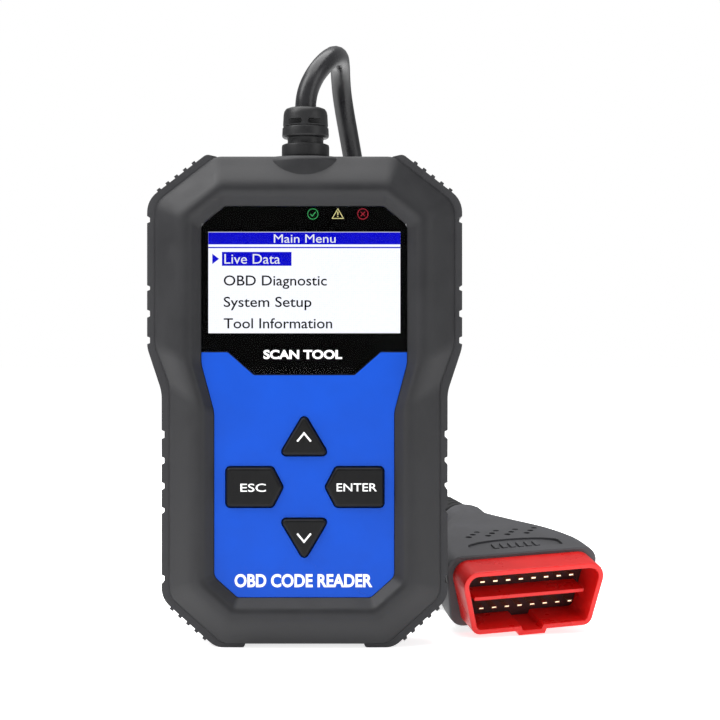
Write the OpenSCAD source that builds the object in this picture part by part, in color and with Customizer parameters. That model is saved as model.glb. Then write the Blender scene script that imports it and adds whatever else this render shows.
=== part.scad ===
// Handheld vehicle fault-code reader, standing upright on the lower lobes of its side grips.
// Millimetres. X runs to the right across the front, Y runs from the front to the back,
// Z runs up. The origin is the middle of the footprint. The two covers meet at y = 0.

/* [Body] */
// Width across the two rubber side grips
body_w = 88.8; // [86:0.1:110]
// Height, from the foot of the grips to their top
body_h = 139; // [132:0.1:175]
// Depth of the front half, from the parting plane to the ridge round the face
front_d = 14; // [14:0.1:18]
// Depth of the rear half, from the parting plane to the flat back
rear_d = 14; // [12:0.1:18]
// Wall thickness of both covers
wall = 2.2; // [1.8:0.1:2.6]
// How far the face bed lies below the ridge
bed_d = 4; // [3.4:0.1:4.4]
// Thickness of the plate behind the face panel
bed_t = 2; // [1.6:0.1:2.4]

/* [Side grips] */
// Thickness of the rubber on the wide upper sides
grip_t = 2.1; // [1.6:0.1:2.4]
// Half of the grips' width along Y
grip_half_y = 7.5; // [6:0.1:8]
// Depth of the grooves between the grip blocks
groove_d = 0.8; // [0.4:0.1:1.2]
// Height of the small ridges on the corners
ridge_h = 0.6; // [0.3:0.1:1]
// Width of one small ridge
ridge_w = 1.1; // [0.8:0.1:1.6]
// Spacing of the small ridges
ridge_pitch = 3.1; // [2.6:0.1:3.4]
// Number of small ridges on a corner
ridge_count = 5; // [3:1:5]

/* [Face] */
// Thickness of the coloured face panel
panel_t = 1.2; // [1:0.1:1.4]
// Thickness of the display lens
lens_t = 1; // [0.8:0.1:1]
// Play round the panel, the lens and the display
fit_gap = 0.15; // [0.1:0.05:0.25]
// Width of the display glass
lcd_w = 57; // [50:0.5:58]
// Height of the display glass
lcd_h = 32.6; // [28:0.1:33]
// Width of the picture area
view_w = 53.8; // [46:0.1:54]
// Height of the picture area
view_h = 28.4; // [24:0.1:29]
// Distance between two indicator lamps
lamp_pitch = 7; // [6:0.1:8]

/* [Keys] */
// How far the keys stand out of the face panel
key_proud = 1.2; // [0.8:0.1:1.8]
// Play between a key and its opening
key_gap = 0.25; // [0.2:0.05:0.3]
// Travel of a key
key_travel = 0.8; // [0.4:0.1:0.9]
// Distance from the pad's middle to the side keys' middles
key_side = 14; // [13.5:0.1:15]
// Distance from the pad's middle to the arrow keys' middles
key_rise = 14; // [13.5:0.1:16]
// Height of the pad's middle above the foot
pad_z = 45.5; // [44:0.1:50]

/* [Board] */
// Thickness of the circuit board
board_t = 1.6; // [1:0.1:2]
// Space between the face plate and the circuit board
board_gap = 3.5; // [3.5:0.1:4.5]

/* [Screws] */
// Diameter of a case screw
screw_d = 2.5; // [2:0.1:3]
// Diameter of a case screw's head
screw_head_d = 4.6; // [4:0.1:5]
// Diameter of a circuit-board screw
board_screw_d = 2; // [1.6:0.1:2.2]

/* [Cord] */
// Diameter of the cord
cord_d = 6; // [4:0.1:7.2]
// Diameter of the strain relief's thickest ring
boot_d = 13.6; // [12:0.1:14.4]
// Height of the strain relief above the body
boot_h = 14.7; // [14:0.1:18]

/* [Plug] */
// Width of the plug's mouth
plug_w = 46; // [44:0.1:56]
// Height of the plug's mouth
plug_h = 19.6; // [18:0.1:22]
// Wall thickness of the plug's shroud
shroud_t = 1.7; // [1.2:0.1:2]
// Length of the shroud in front of the grip
shroud_l = 10; // [8:0.1:14]
// Length from the mouth to the end of the plug's grip
plug_l = 66; // [60:0.5:70]
// Spacing of the plug's pins in a row
pin_pitch = 4; // [3.6:0.1:4.2]
// Distance between the two rows of pins
pin_rows = 8.3; // [7:0.1:8.8]

/* [Hidden] */
$fn = 48;
e = 0.01;                                   // overlap of a cut past the face it opens

// Planes along Y, from the front to the back
ridge_y = -front_d;
bed_front = ridge_y + bed_d;
bed_back = bed_front + bed_t;
panel_front = bed_front - panel_t;
mask_t = panel_t - lens_t;
lcd_front = bed_front + 0.2;
lcd_t = bed_t;
lcd_back = lcd_front + lcd_t;
board_front = bed_back + board_gap;
board_back = board_front + board_t;
dome_h = 0.4;
mat_t = 1.5;
mat_front = board_front - mat_t;
flange_t = 0.8;
flange_gap = 0.1;                           // from the bed's back to a key's flange at rest
key_front = panel_front - key_proud;
plunger_end = board_front - dome_h - 0.05 - key_travel;

// Half-outlines, from the bottom up the right side to the top
half_w = body_w / 2;
waist_in = 4.1;                             // how far the lower sides stand in from the upper ones
lobe_h = 0.7;                               // the grips' lobes above the cover's top edge
foot_h = 1.1;                               // the grips' lobes below the cover's bottom edge
upper_x = half_w - grip_t;
lower_x = half_w - waist_in - grip_t;
cover_half = [[lower_x - 14.9, foot_h], [lower_x, foot_h + 13.4], [lower_x, body_h - 65],
              [upper_x, body_h - 54], [upper_x, body_h - 13.8], [upper_x - 17, body_h - lobe_h]];
cover_radii = [6, 6, 12, 12, 7, 6];
face_half = [[half_w - 25.7, 14.5], [half_w - 19.1, 20.4], [half_w - 19.1, body_h - 72.5],
             [half_w - 15.5, body_h - 59], [half_w - 15.5, body_h - 20.3],
             [half_w - 22.2, body_h - 14.9]];
face_radii = [2, 3, 9, 9, 2.5, 2];
grip_half = [[half_w - 27.7, foot_h], [half_w - 27.3, 0], [half_w - 19.3, 0],
             [half_w - waist_in, 13.7], [half_w - waist_in, body_h - 67],
             [half_w, body_h - 54.5], [half_w, body_h - 12.9],
             [half_w - 16.7, body_h], [half_w - 19.7, body_h - lobe_h]];
grip_radii = [0.2, 0.8, 6, 6.5, 12, 9, 7, 2, 0.3];
grip_inner = [[half_w - 26, body_h / 2], [half_w - 30, foot_h + 4]];
// Groove places: distances down from the top, then heights above the foot
high_grooves = [[17.3, 19.6], [36.8, 38.7], [43.7, 46.2], [51.2, 53.7]];
low_grooves = [[58.6, 61.4], [51.4, 53.9], [44.2, 46.7], [37.5, 39.7], [17.8, 20.6]];

// Display and lamps, placed down from the top
lcd_z = body_h - 36.3;                      // middle of the picture
lens_foot_z = body_h - 55.7;
tongue_z = body_h - 62.1;
tongue_half = 14.1;
tongue_shoulder = 21.4;
lamp_z = body_h - 17.1;
lamp_x = [for (i = [0:2]) 2.4 + i * lamp_pitch];
frame_margin = 1.5;                         // display frame outside the glass
frame_skin = 1;

// Keys
up_mid = [0, pad_z + key_rise];
down_mid = [0, pad_z - key_rise];
esc_mid = [-key_side, pad_z];
enter_mid = [key_side, pad_z];
key_up_outline = [[-7, -5.2], [7, -5.2], [0, 6.6]];
key_down_outline = [[7, 5.2], [-7, 5.2], [0, -6.6]];
key_esc_outline = [[-7.8, -5.6], [5.2, -5.6], [8.1, 0], [5.2, 5.6], [-7.8, 5.6]];
key_enter_outline = [[-5.2, -5.6], [8.2, -5.6], [8.2, 5.6], [-5.2, 5.6], [-8.1, 0]];
key_r = 1.1;
flange_out = 0.9;
plunger_r = 1.5;
dome_r = 3;

// Screw places as [x, z] on the right; the left ones mirror them
post_r = 3.2;
post_places = [[upper_x - 5.7, body_h - 20], [upper_x - 5.7, body_h - 50], [lower_x - 5.9, 22]];
standoff_r = 2.2;
standoff_places = [[29.5, body_h - 15.5], [24, 12.5]];
head_recess = 5;                            // depth of a case screw's recess in the back

key_mids = [up_mid, down_mid, esc_mid, enter_mid];

// Circuit board
board_low_half = min(28, lower_x - 5.9 - post_r - 0.4);
board_high_half = min(32.5, upper_x - 5.7 - post_r - 0.4);
board_bottom_z = 9;
board_step_z = body_h - 61;
board_top_z = body_h - 12;

// Wiring connector on the board, open towards the top
socket_z = body_h - 29;
wire_pitch = 1.5;
wire_count = 8;
wire_y = 0.2;

// Blank label and finger grooves on the back
label_w = 46;
label_h = 34;
label_t = 0.4;
label_z = 52;
vent_x = 11;
vent_l = 16;
vent_z = body_h - 36;
vent_pitch = 4;

// Cable entry at the top of the body
top_z = body_h - lobe_h;
boss_y = 1.6;
boss_r = 13.9;
boss_l = 7.5;
boot_neck_r = boot_d / 2 - 1.2;
boot_flange_r = boot_d / 2 + 1.3;
boot_flange_t = 1.6;
boot_end_z = top_z + boot_h;
cord_r = cord_d / 2;
tail_bottom_z = body_h - 11;
entry_gap = 0.1;

// Routes of the cord, away from its coil
route_unit = [[0, 0, boot_end_z], [0.15, 0.02, 155.3], [0.65, 0.2, 157.9], [1.6, 0.75, 160.6],
              [2.95, 1.95, 163.3], [4.6, 4.1, 165.9], [6.3, 7.5, 168.3], [7.8, 12.1, 170.2],
              [8.9, 17.8, 171.2], [9.4, 22.6, 171], [9.6, 27.2, 169.7], [9.7, 31.4, 167],
              [10.1, 34.7, 162.6], [11, 37, 156.8], [12.2, 38.6, 150.2], [13.8, 40, 141],
              [15.8, 41.3, 128], [17.4, 42.2, 112], [17, 42.3, 92.5], [13.6, 42.3, 73],
              [7.8, 42.6, 56], [0.5, 44.6, 40.5], [-6.3, 50, 29], [-11.4, 58.5, 21],
              [-14.3, 68.5, 16.6], [-15, 78.5, 15.1], [-15, 88, 15]];
coil_mid = [18, 88];
coil_r = 30;                                // middle of the coil's two columns of turns
coil_columns = 2;
coil_layers = 3;
route_plug = [[2.5, 65.9, 12.8], [-4.1, 72.5, 15], [-8.1, 81, 17.7], [-8.3, 91.9, 20.8],
              [-5.7, 100.3, 24], [-0.4, 107.4, 27.3], [6.9, 112.5, 30.4], [15.4, 114.8, 32.9],
              [24.1, 113.8, 34.6], [31.9, 110.1, 35.2], [38.1, 103.9, 34.6]];
tube_sides = 10;
tie_t = 1.2;
tie_w = 11;

// Plug, drawn in its own frame: mouth at y = 0, rear towards +y
plug_pos = [body_w / 2 + plug_w / 2 - 0.9, 9.5, 11.1];
plug_turn = [13.5, -2.5, 16];               // nose down, roll, turn
plug_half_top = plug_w / 2;
plug_half_foot = plug_w / 2 - 4.6;
plug_outline = [[-plug_half_foot, -plug_h / 2], [plug_half_foot, -plug_h / 2],
                [plug_half_top, plug_h / 2], [-plug_half_top, plug_h / 2]];
plug_radii = [3, 3, 4.5, 4.5];
notch_h = 1.4;
notch_outline = [[-4, -plug_h / 2 - notch_h], [4, -plug_h / 2 - notch_h],
                 [5.4, -plug_h / 2 + shroud_t], [-5.4, -plug_h / 2 + shroud_t]];
insert_l = 4;                               // shroud inside the grip
insert_in = 1.3;                            // inset of that length
shroud_end = shroud_l + insert_l;
shroud_back_t = 2;
divider_y = 3.5;
divider_t = 1.2;
pin_tip_y = 6;
pin_w = 1.5;
pin_h = 0.7;
pin_end_y = shroud_end + 6;
carrier_l = 4;
grip_proud = 1.2;
boot_plug_l = 20;
plug_end = plug_l + boot_plug_l;

// ---- Outline functions ----
function unit(v) = v / norm(v);
function mirrored(half) = concat(half, [for (i = [len(half) - 1:-1:0]) [-half[i].x, half[i].y]]);
function reversed(list) = [for (i = [len(list) - 1:-1:0]) list[i]];
function doubled(radii) = concat(radii, reversed(radii));
// Moves each edge of an anticlockwise outline outwards by d
function edge_normal(a, b) = let (u = unit(b - a)) [u.y, -u.x];
function grown(pts, d) = [for (i = [0:len(pts) - 1])
    let (n = len(pts), a = pts[(i + n - 1) % n], b = pts[i], c = pts[(i + 1) % n],
         p = edge_normal(a, b), q = edge_normal(b, c))
    b + (p + q) * d / (1 + p * q)];
// Rounds corner b between a and c with radius r, in n steps
function corner_arc(a, b, c, r, n) =
    let (u = unit(a - b), v = unit(c - b), half = acos(u * v) / 2,
         mid = b + unit(u + v) * r / sin(half), from = b + u * r / tan(half) - mid,
         to = b + v * r / tan(half) - mid, a0 = atan2(from.y, from.x),
         turn = (atan2(to.y, to.x) - a0 + 540) % 360 - 180)
    [for (i = [0:n]) mid + r * [cos(a0 + turn * i / n), sin(a0 + turn * i / n)]];
function rounded(pts, radii, n = 4) = [for (i = [0:len(pts) - 1])
    let (m = len(pts)) each corner_arc(pts[(i + m - 1) % m], pts[i], pts[(i + 1) % m], radii[i], n)];
function same(value, count) = [for (i = [1:count]) value];
// Outline between the cover's edge (t = 0) and the face opening (t = 1)
function face_ring(t) = rounded(mirrored(cover_half * (1 - t) + face_half * t),
                                doubled(cover_radii * (1 - t) + face_radii * t));
function cover_inset(d) = rounded(mirrored_inset(d), doubled([for (r = cover_radii) max(1.5, r - d)]));
function mirrored_inset(d) = grown(mirrored(cover_half), -d);
function at_y(pts, y) = [for (p = pts) [p.x, y, p.y]];

// ---- Sweep functions ----
function spline_point(p, i, u) =
    let (a = p[max(i - 1, 0)], b = p[i], c = p[i + 1], d = p[min(i + 2, len(p) - 1)])
    0.5 * (2 * b + (c - a) * u + (2 * a - 5 * b + 4 * c - d) * u * u
           + (3 * b - a - 3 * c + d) * u * u * u);
function spline(p, steps) = concat([for (i = [0:len(p) - 2], s = [0:steps - 1])
    spline_point(p, i, s / steps)], [p[len(p) - 1]]);
function tangent(p, i) = unit(p[min(i + 1, len(p) - 1)] - p[max(i - 1, 0)]);
// A side direction carried along the path without twisting
function carried(p, i, side) = let (t = tangent(p, i)) unit(side - t * (side * t));
function sides_along(p, i, side, done) = i == len(p) ? done
    : let (s = carried(p, i, side)) sides_along(p, i + 1, s, concat(done, [s]));
// Rotation of the plug's frame: roll, then nose down, then turn
function turned(v) =
    let (r = plug_turn.y, p = plug_turn.x, w = plug_turn.z,
         a = [v.x * cos(r) + v.z * sin(r), v.y, v.z * cos(r) - v.x * sin(r)],
         b = [a.x, a.y * cos(p) - a.z * sin(p), a.y * sin(p) + a.z * cos(p)])
    [b.x * cos(w) - b.y * sin(w), b.x * sin(w) + b.y * cos(w), b.z];
function in_plug(v) = plug_pos + turned(v);

// ---- Shape modules ----
// Extrudes an x-z outline from y0 to y1
module slab(y0, y1) {
    translate([0, y1, 0]) rotate([90, 0, 0]) linear_extrude(y1 - y0) children();
}
module rod(x, z, y0, y1, r) {
    translate([x, y1, z]) rotate([90, 0, 0]) cylinder(h = y1 - y0, r = r);
}
module box(x0, x1, y0, y1, z0, z1) {
    translate([x0, y0, z0]) cube([x1 - x0, y1 - y0, z1 - z0]);
}
module outline(pts, r) {
    polygon(rounded(pts, same(r, len(pts))));
}
// Skin through rings that run from the back (high y) to the front (low y)
module loft(rings) {
    n = len(rings[0]);
    last = len(rings) - 1;
    polyhedron(
        points = [for (ring = rings) each ring],
        faces = concat(
            [[for (i = [0:n - 1]) i]],
            [[for (i = [n - 1:-1:0]) last * n + i]],
            [for (k = [0:last - 1], i = [0:n - 1])
                let (j = (i + 1) % n, a = k * n) each [[a + i, a + n + i, a + j],
                                                     [a + j, a + n + i, a + n + j]]]));
}
// Round tube along a path
module tube(path, r) {
    n = tube_sides;
    first = abs(tangent(path, 0).x) < 0.9 ? [1, 0, 0] : [0, 1, 0];
    sides = sides_along(path, 0, first, []);
    last = len(path) - 1;
    polyhedron(
        points = [for (i = [0:last]) let (t = tangent(path, i), s = sides[i], w = cross(t, s))
            each [for (k = [0:n - 1]) path[i] + r * (s * cos(360 * k / n) + w * sin(360 * k / n))]],
        faces = concat(
            [[for (k = [0:n - 1]) k]],
            [[for (k = [n - 1:-1:0]) last * n + k]],
            [for (i = [0:last - 1], k = [0:n - 1])
                let (j = (k + 1) % n, a = i * n) each [[a + k, a + n + k, a + j],
                                                       [a + j, a + n + k, a + n + j]]]));
}
module both_sides(places) {
    for (p = places, side = [-1, 1]) translate([side * p.x, 0, p.y]) children();
}
module in_plug_frame() {
    translate(plug_pos) rotate([0, 0, plug_turn.z]) rotate([plug_turn.x, 0, 0])
        rotate([0, plug_turn.y, 0]) children();
}

// ---- Covers ----
module cable_entry_cut() {
    translate([0, 0, top_z - wall - e]) cylinder(h = wall + 2 * e, r = boot_neck_r);
    translate([0, 0, top_z - wall - boot_flange_t - 2 * entry_gap])
        cylinder(h = boot_flange_t + 2 * entry_gap + e, r = boot_flange_r + entry_gap);
    translate([0, 0, top_z - boss_l - e]) cylinder(h = boss_l, r = cord_r + 0.4);
}
module entry_boss() {
    translate([0, boss_y, top_z - boss_l]) cylinder(h = boss_l, r = boss_r);
}
module key_openings(gap) {
    translate(up_mid) outline(grown(key_up_outline, gap), key_r + gap);
    translate(down_mid) outline(grown(key_down_outline, gap), key_r + gap);
    translate(esc_mid) outline(grown(key_esc_outline, gap), key_r + gap);
    translate(enter_mid) outline(grown(key_enter_outline, gap), key_r + gap);
}
module front_cover() {
    color("#3d3d3f") difference() {
        union() {
            difference() {
                loft([at_y(face_ring(0), 1), at_y(face_ring(0), -grip_half_y),
                      at_y(face_ring(0.22), ridge_y + 3.9), at_y(face_ring(0.45), ridge_y + 1.4),
                      at_y(face_ring(0.6), ridge_y + 0.3), at_y(face_ring(0.68), ridge_y),
                      at_y(face_ring(0.78), ridge_y + 0.2), at_y(face_ring(0.88), ridge_y + 1),
                      at_y(face_ring(1), panel_front), at_y(face_ring(1), bed_back + 0.5)]);
                box(-body_w, body_w, 0, 2, -1, body_h + 1);
                slab(-grip_half_y + 1, e) polygon(cover_inset(wall));
                slab(bed_back, e) polygon(cover_inset(wall + 3));
            }
            slab(bed_front, bed_back) polygon(face_ring(0.93));
            intersection() {
                entry_boss();
                box(-boss_r, boss_r, ridge_y, 0, 0, body_h);
            }
            both_sides(post_places) rod(0, 0, bed_back - e, 0, post_r);
            both_sides(standoff_places) rod(0, 0, bed_back - e, board_front, standoff_r);
        }
        both_sides(post_places) rod(0, 0, bed_back + 1, e, screw_d / 2);
        both_sides(standoff_places) rod(0, 0, bed_back + 0.4, board_front + e, board_screw_d / 2);
        cable_entry_cut();
        slab(bed_front - e, bed_back + e) key_openings(key_gap);
        box(-lcd_w / 2 - fit_gap, lcd_w / 2 + fit_gap, bed_front - e, bed_back + e,
            lcd_z - lcd_h / 2 - fit_gap, lcd_z + lcd_h / 2 + fit_gap);
        for (x = lamp_x) rod(x, lamp_z, bed_front - e, bed_back + e, 1.3 + fit_gap);
    }
}
module rear_cover() {
    color("#3a3a3c") difference() {
        union() {
            difference() {
                loft([at_y(cover_inset(4.5), rear_d + 1), at_y(cover_inset(4.5), rear_d),
                      at_y(cover_inset(3.2), rear_d - 0.3),
                      at_y(cover_inset(1.3), rear_d - 1.8), at_y(cover_inset(0.3), rear_d - 3.9),
                      at_y(face_ring(0), rear_d - 5), at_y(face_ring(0), -1)]);
                box(-body_w, body_w, -2, 0, -1, body_h + 1);
                box(-body_w, body_w, rear_d, rear_d + 2, -1, body_h + 1);
                slab(-e, rear_d - 5) polygon(cover_inset(wall));
                slab(-e, rear_d - 2) polygon(cover_inset(wall + 1.8));
            }
            intersection() {
                entry_boss();
                box(-boss_r, boss_r, 0, rear_d - 5, 0, body_h);
            }
            both_sides(post_places) rod(0, 0, 0, rear_d - 1.9, post_r);
        }
        both_sides(post_places) rod(0, 0, -e, rear_d, screw_d / 2 + 0.2);
        both_sides(post_places) rod(0, 0, rear_d - head_recess, rear_d + e, screw_head_d / 2 + 0.2);
        cable_entry_cut();
        box(-label_w / 2, label_w / 2, rear_d - label_t, rear_d + e, label_z - label_h / 2,
            label_z + label_h / 2);
        for (i = [-2:2], side = [-1, 1])
            box(side * vent_x - vent_l / 2, side * vent_x + vent_l / 2, rear_d - 0.6, rear_d + e,
                vent_z + i * vent_pitch - 0.7, vent_z + i * vent_pitch + 0.7);
    }
}
module rear_label() {
    color("silver") box(-label_w / 2 + fit_gap, label_w / 2 - fit_gap, rear_d - label_t, rear_d,
                        label_z - label_h / 2 + fit_gap, label_z + label_h / 2 - fit_gap);
}

// ---- Side grips ----
module groove(x, z0, z1) {
    slope = 0.5;
    polygon([[x - groove_d, z0 + slope], [x + 3, z0 - 1.2], [x + 3, z1 + 1.2],
             [x - groove_d, z1 - slope]]);
}
module corner_ridges(from, to) {
    u = unit(to - from);
    middle = (from + to) / 2;
    for (i = [0:ridge_count - 1]) {
        at = middle + u * (i - (ridge_count - 1) / 2) * ridge_pitch;
        translate(at) rotate(atan2(u.y, u.x)) translate([-ridge_w / 2, -1])
            square([ridge_w, 1 + ridge_h]);
    }
}
module grip_outline() {
    difference() {
        union() {
            polygon(rounded(concat(grip_half, grip_inner), concat(grip_radii, [1, 1]), 5));
            corner_ridges(grip_half[7], grip_half[6]);
            corner_ridges(grip_half[3], grip_half[2]);
        }
        polygon(face_ring(0));
        for (g = high_grooves) groove(half_w, body_h - g[1], body_h - g[0]);
        for (g = low_grooves) groove(half_w - waist_in, g[0], g[1]);
    }
}
module right_grip() {
    color("#4a4a4d") slab(-grip_half_y, grip_half_y) grip_outline();
}
module left_grip() {
    color("#4a4a4d") slab(-grip_half_y, grip_half_y) mirror([1, 0]) grip_outline();
}

// ---- Face ----
module lens_region(gap) {
    far = body_w;
    polygon([[-far, body_h], [-far, lens_foot_z + gap], [-tongue_shoulder, lens_foot_z + gap],
             [-tongue_half, tongue_z + gap], [tongue_half, tongue_z + gap],
             [tongue_shoulder, lens_foot_z + gap], [far, lens_foot_z + gap], [far, body_h]]);
}
function face_inset() = grown(face_ring(1), -fit_gap);
module face_panel() {
    color("#0a5bdc") slab(panel_front, bed_front) difference() {
        polygon(face_inset());
        lens_region(-fit_gap);
        key_openings(key_gap);
    }
}
module display_lens() {
    color("#0b0b0d") slab(panel_front, panel_front + lens_t) intersection() {
        polygon(face_inset());
        lens_region(fit_gap);
    }
}
module lens_mask() {
    color("#050505") slab(bed_front - mask_t, bed_front) difference() {
        intersection() {
            polygon(face_inset());
            lens_region(fit_gap);
        }
        translate([0, lcd_z]) square([view_w, view_h], center = true);
        for (x = lamp_x) translate([x, lamp_z]) circle(r = 1.3);
    }
}

// ---- Display ----
module lcd_glass() {
    color("#f4f6fb") box(-lcd_w / 2, lcd_w / 2, lcd_front, lcd_back, lcd_z - lcd_h / 2,
                         lcd_z + lcd_h / 2);
}
module lcd_frame() {
    w = lcd_w / 2 + frame_margin;
    h = lcd_h / 2 + frame_margin;
    color("#d8d8d2") difference() {
        box(-w, w, lcd_back, board_front, lcd_z - h, lcd_z + h - 0.8);
        box(-w + frame_skin, w - frame_skin, lcd_back - e, board_front - frame_skin,
            lcd_z - h + frame_skin, lcd_z + h - 0.8 - frame_skin);
    }
}
module backlight() {
    w = lcd_w / 2 + frame_margin - frame_skin - fit_gap;
    h = lcd_h / 2 + frame_margin - frame_skin - fit_gap;
    color("white") box(-w, w, lcd_back, board_front - frame_skin, lcd_z - h, lcd_z + h - 0.8);
}
module lcd_flex() {
    color("#c8842a") box(-9, 9, board_front - 0.3, board_front, lcd_z - lcd_h / 2 - 12,
                         lcd_z - lcd_h / 2 - frame_margin);
}

// ---- Keys ----
module key(mid, pts) {
    color("#1c1c1a") translate([mid.x, 0, mid.y]) {
        slab(key_front, bed_back + flange_gap + e) outline(pts, key_r);
        slab(bed_back + flange_gap, bed_back + flange_gap + flange_t)
            outline(grown(pts, flange_out), key_r);
        rod(0, 0, bed_back + flange_gap, plunger_end, plunger_r);
    }
}
module key_up() { key(up_mid, key_up_outline); }
module key_down() { key(down_mid, key_down_outline); }
module key_esc() { key(esc_mid, key_esc_outline); }
module key_enter() { key(enter_mid, key_enter_outline); }
module keypad_mat() {
    color("#c9c9c4") difference() {
        box(-24, 24, mat_front, board_front, pad_z - key_rise - 9, pad_z + key_rise + 9);
        for (m = key_mids) rod(m.x, m.y, mat_front - e, board_front + e, dome_r + 0.2);
    }
}
module snap_domes() {
    color("silver") for (m = key_mids) rod(m.x, m.y, board_front - dome_h, board_front, dome_r);
}

// ---- Circuit board ----
module main_board() {
    color("#1e6b3a") difference() {
        slab(board_front, board_back)
            outline([[-board_low_half, board_bottom_z], [board_low_half, board_bottom_z],
                     [board_low_half, board_step_z], [board_high_half, board_step_z + 4.5],
                     [board_high_half, board_top_z], [-board_high_half, board_top_z],
                     [-board_high_half, board_step_z + 4.5], [-board_low_half, board_step_z]], 1);
        both_sides(standoff_places)
            rod(0, 0, board_front - e, board_back + e, board_screw_d / 2 + 0.15);
    }
}
module main_chip() {
    color("#202022") box(-7, 7, board_back, board_back + 1.4, 53, 67);
}
module support_chips() {
    color("#202022") {
        box(-20, -12, board_back, board_back + 1.2, 56, 62);
        box(12, 17, board_back, board_back + 1.2, 44, 50);
        box(-5, 5, board_back, board_back + 1.6, 30, 36);
        box(-20, -14, board_back, board_back + 1.2, 84, 90);
    }
}
module capacitors() {
    color("#9aa0a8") for (p = [[20, 30], [20, 38], [-19, 34]])
        rod(p.x, p.y, board_back, board_back + 7, 3);
}
module crystal() {
    color("silver") box(-3.2, 3.2, board_back, board_back + 2.6, 71, 75.5);
}
module buzzer() {
    color("#111113") rod(18, body_h - 42, board_back, board_back + 6.5, 6);
}
module lamp(i, tint) {
    color(tint) box(lamp_x[i] - 1.6, lamp_x[i] + 1.6, board_front - 0.7, board_front, lamp_z - 0.8,
                    lamp_z + 0.8);
}
module led_ok() { lamp(0, "#35c24a"); }
module led_warning() { lamp(1, "#e8c62a"); }
module led_fault() { lamp(2, "#e03030"); }
module led_light_guide() {
    color("#dfe6ea") {
        box(lamp_x[0] - 1.9, lamp_x[2] + 1.9, bed_back + 0.1, board_front - 0.9, lamp_z - 1.1,
            lamp_z + 1.1);
        for (x = lamp_x) rod(x, lamp_z, bed_front, bed_back + 0.2, 1.3);
    }
}

// ---- Wiring inside ----
module header_socket() {
    color("#e9e6da") difference() {
        box(-8, 8, board_back, board_back + 6, socket_z, socket_z + 8);
        box(-7, 7, board_back + 0.8, board_back + 5.2, socket_z + 1.2, socket_z + 8 + e);
    }
}
module harness_plug() {
    color("#f2efe6") box(-6.9, 6.9, board_back + 0.9, board_back + 5.1, socket_z + 1.2,
                         socket_z + 11);
}
module harness_wires() {
    for (i = [0:wire_count - 1]) {
        low = [(i - (wire_count - 1) / 2) * wire_pitch, wire_y, socket_z + 11];
        high = [low.x * 0.42, 0, tail_bottom_z];
        run = high - low;
        color(i % 2 == 0 ? "#c03030" : "#2a2a2a") translate(low)
            rotate([0, acos(run.z / norm(run)), atan2(run.y, run.x)])
                cylinder(h = norm(run), r = 0.3, $fn = 16);
    }
}

// ---- Screws ----
module board_screws() {
    color("silver") both_sides(standoff_places) {
        rod(0, 0, bed_back + 0.6, board_back + e, board_screw_d / 2);
        difference() {
            rod(0, 0, board_back, board_back + 1.3, board_screw_d * 0.95);
            box(-1.2, 1.2, board_back + 0.7, board_back + 1.4, -0.25, 0.25);
            box(-0.25, 0.25, board_back + 0.7, board_back + 1.4, -1.2, 1.2);
        }
    }
}
module case_screws() {
    seat = rear_d - head_recess;
    color("#6b6b70") both_sides(post_places) {
        rod(0, 0, bed_back + 1.4, seat + e, screw_d / 2);
        difference() {
            rod(0, 0, seat, seat + 2, screw_head_d / 2);
            box(-1.6, 1.6, seat + 1, seat + 2 + e, -0.35, 0.35);
            box(-0.35, 0.35, seat + 1, seat + 2 + e, -1.6, 1.6);
        }
    }
}

// ---- Cable entry and cord ----
module cable_boot() {
    r = boot_d / 2;
    slot_z = top_z + 9.3;
    color("#2f2f31") difference() {
        translate([0, 0, top_z]) rotate_extrude() polygon([
            [cord_r, -wall - boot_flange_t - entry_gap], [boot_flange_r, -wall - boot_flange_t - entry_gap],
            [boot_flange_r, -wall - entry_gap], [boot_neck_r - entry_gap, -wall - entry_gap],
            [boot_neck_r - entry_gap, 0], [r - 0.6, 0],
            [r, 1.2], [r, 3.8], [r - 0.5, 4.4], [r - 2.6, 4.5], [r - 2.6, 6.5], [r - 0.6, 6.6],
            [r - 0.2, 7.2], [r - 0.3, 9.2], [r - 0.4, 11], [r - 0.6, boot_h - 2],
            [r - 1.7, boot_h - 0.4], [r - 2.6, boot_h], [cord_r, boot_h]]);
        for (side = [-1, 1]) {
            box(side * 3.3 - 2.5, side * 3.3 + 2.5, -r - 1, -cord_r - 1.4, slot_z, slot_z + 1.5);
            box(side * 3.3 - 2.5, side * 3.3 + 2.5, cord_r + 1.4, r + 1, slot_z, slot_z + 1.5);
        }
    }
}
module cable_tail() {
    color("#3a3a3d") translate([0, 0, tail_bottom_z])
        cylinder(h = boot_end_z - tail_bottom_z, r = cord_r);
}
module cable_run_unit() {
    color("#3a3a3d") tube(spline(route_unit, 2), cord_r);
}
module coil_place() {
    translate([coil_mid.x, coil_mid.y, 0]) children();
}
module coil_tie() {
    out = coil_columns * cord_r + tie_t / 2;
    color("#1d1d1f") coil_place() difference() {
        box(-tie_w / 2, tie_w / 2, coil_r - out, coil_r + out, 0, coil_layers * cord_d + tie_t / 2);
        box(-tie_w / 2 - 1, tie_w / 2 + 1, coil_r - out + tie_t, coil_r + out - tie_t, tie_t / 2,
            coil_layers * cord_d - tie_t / 2);
    }
}
module cable_coil() {
    w = coil_columns * cord_r;
    color("#3a3a3d") coil_place() difference() {
        rotate_extrude($fn = 96) translate([coil_r - w, 0]) square([2 * w, coil_layers * cord_d]);
        difference() {
            box(-tie_w / 2, tie_w / 2, coil_r - w - 2, coil_r + w + 2, -1, coil_layers * cord_d + 1);
            box(-tie_w / 2 - 1, tie_w / 2 + 1, coil_r - w + tie_t / 2, coil_r + w - tie_t / 2,
                tie_t / 2, coil_layers * cord_d - tie_t / 2);
        }
    }
}
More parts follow.
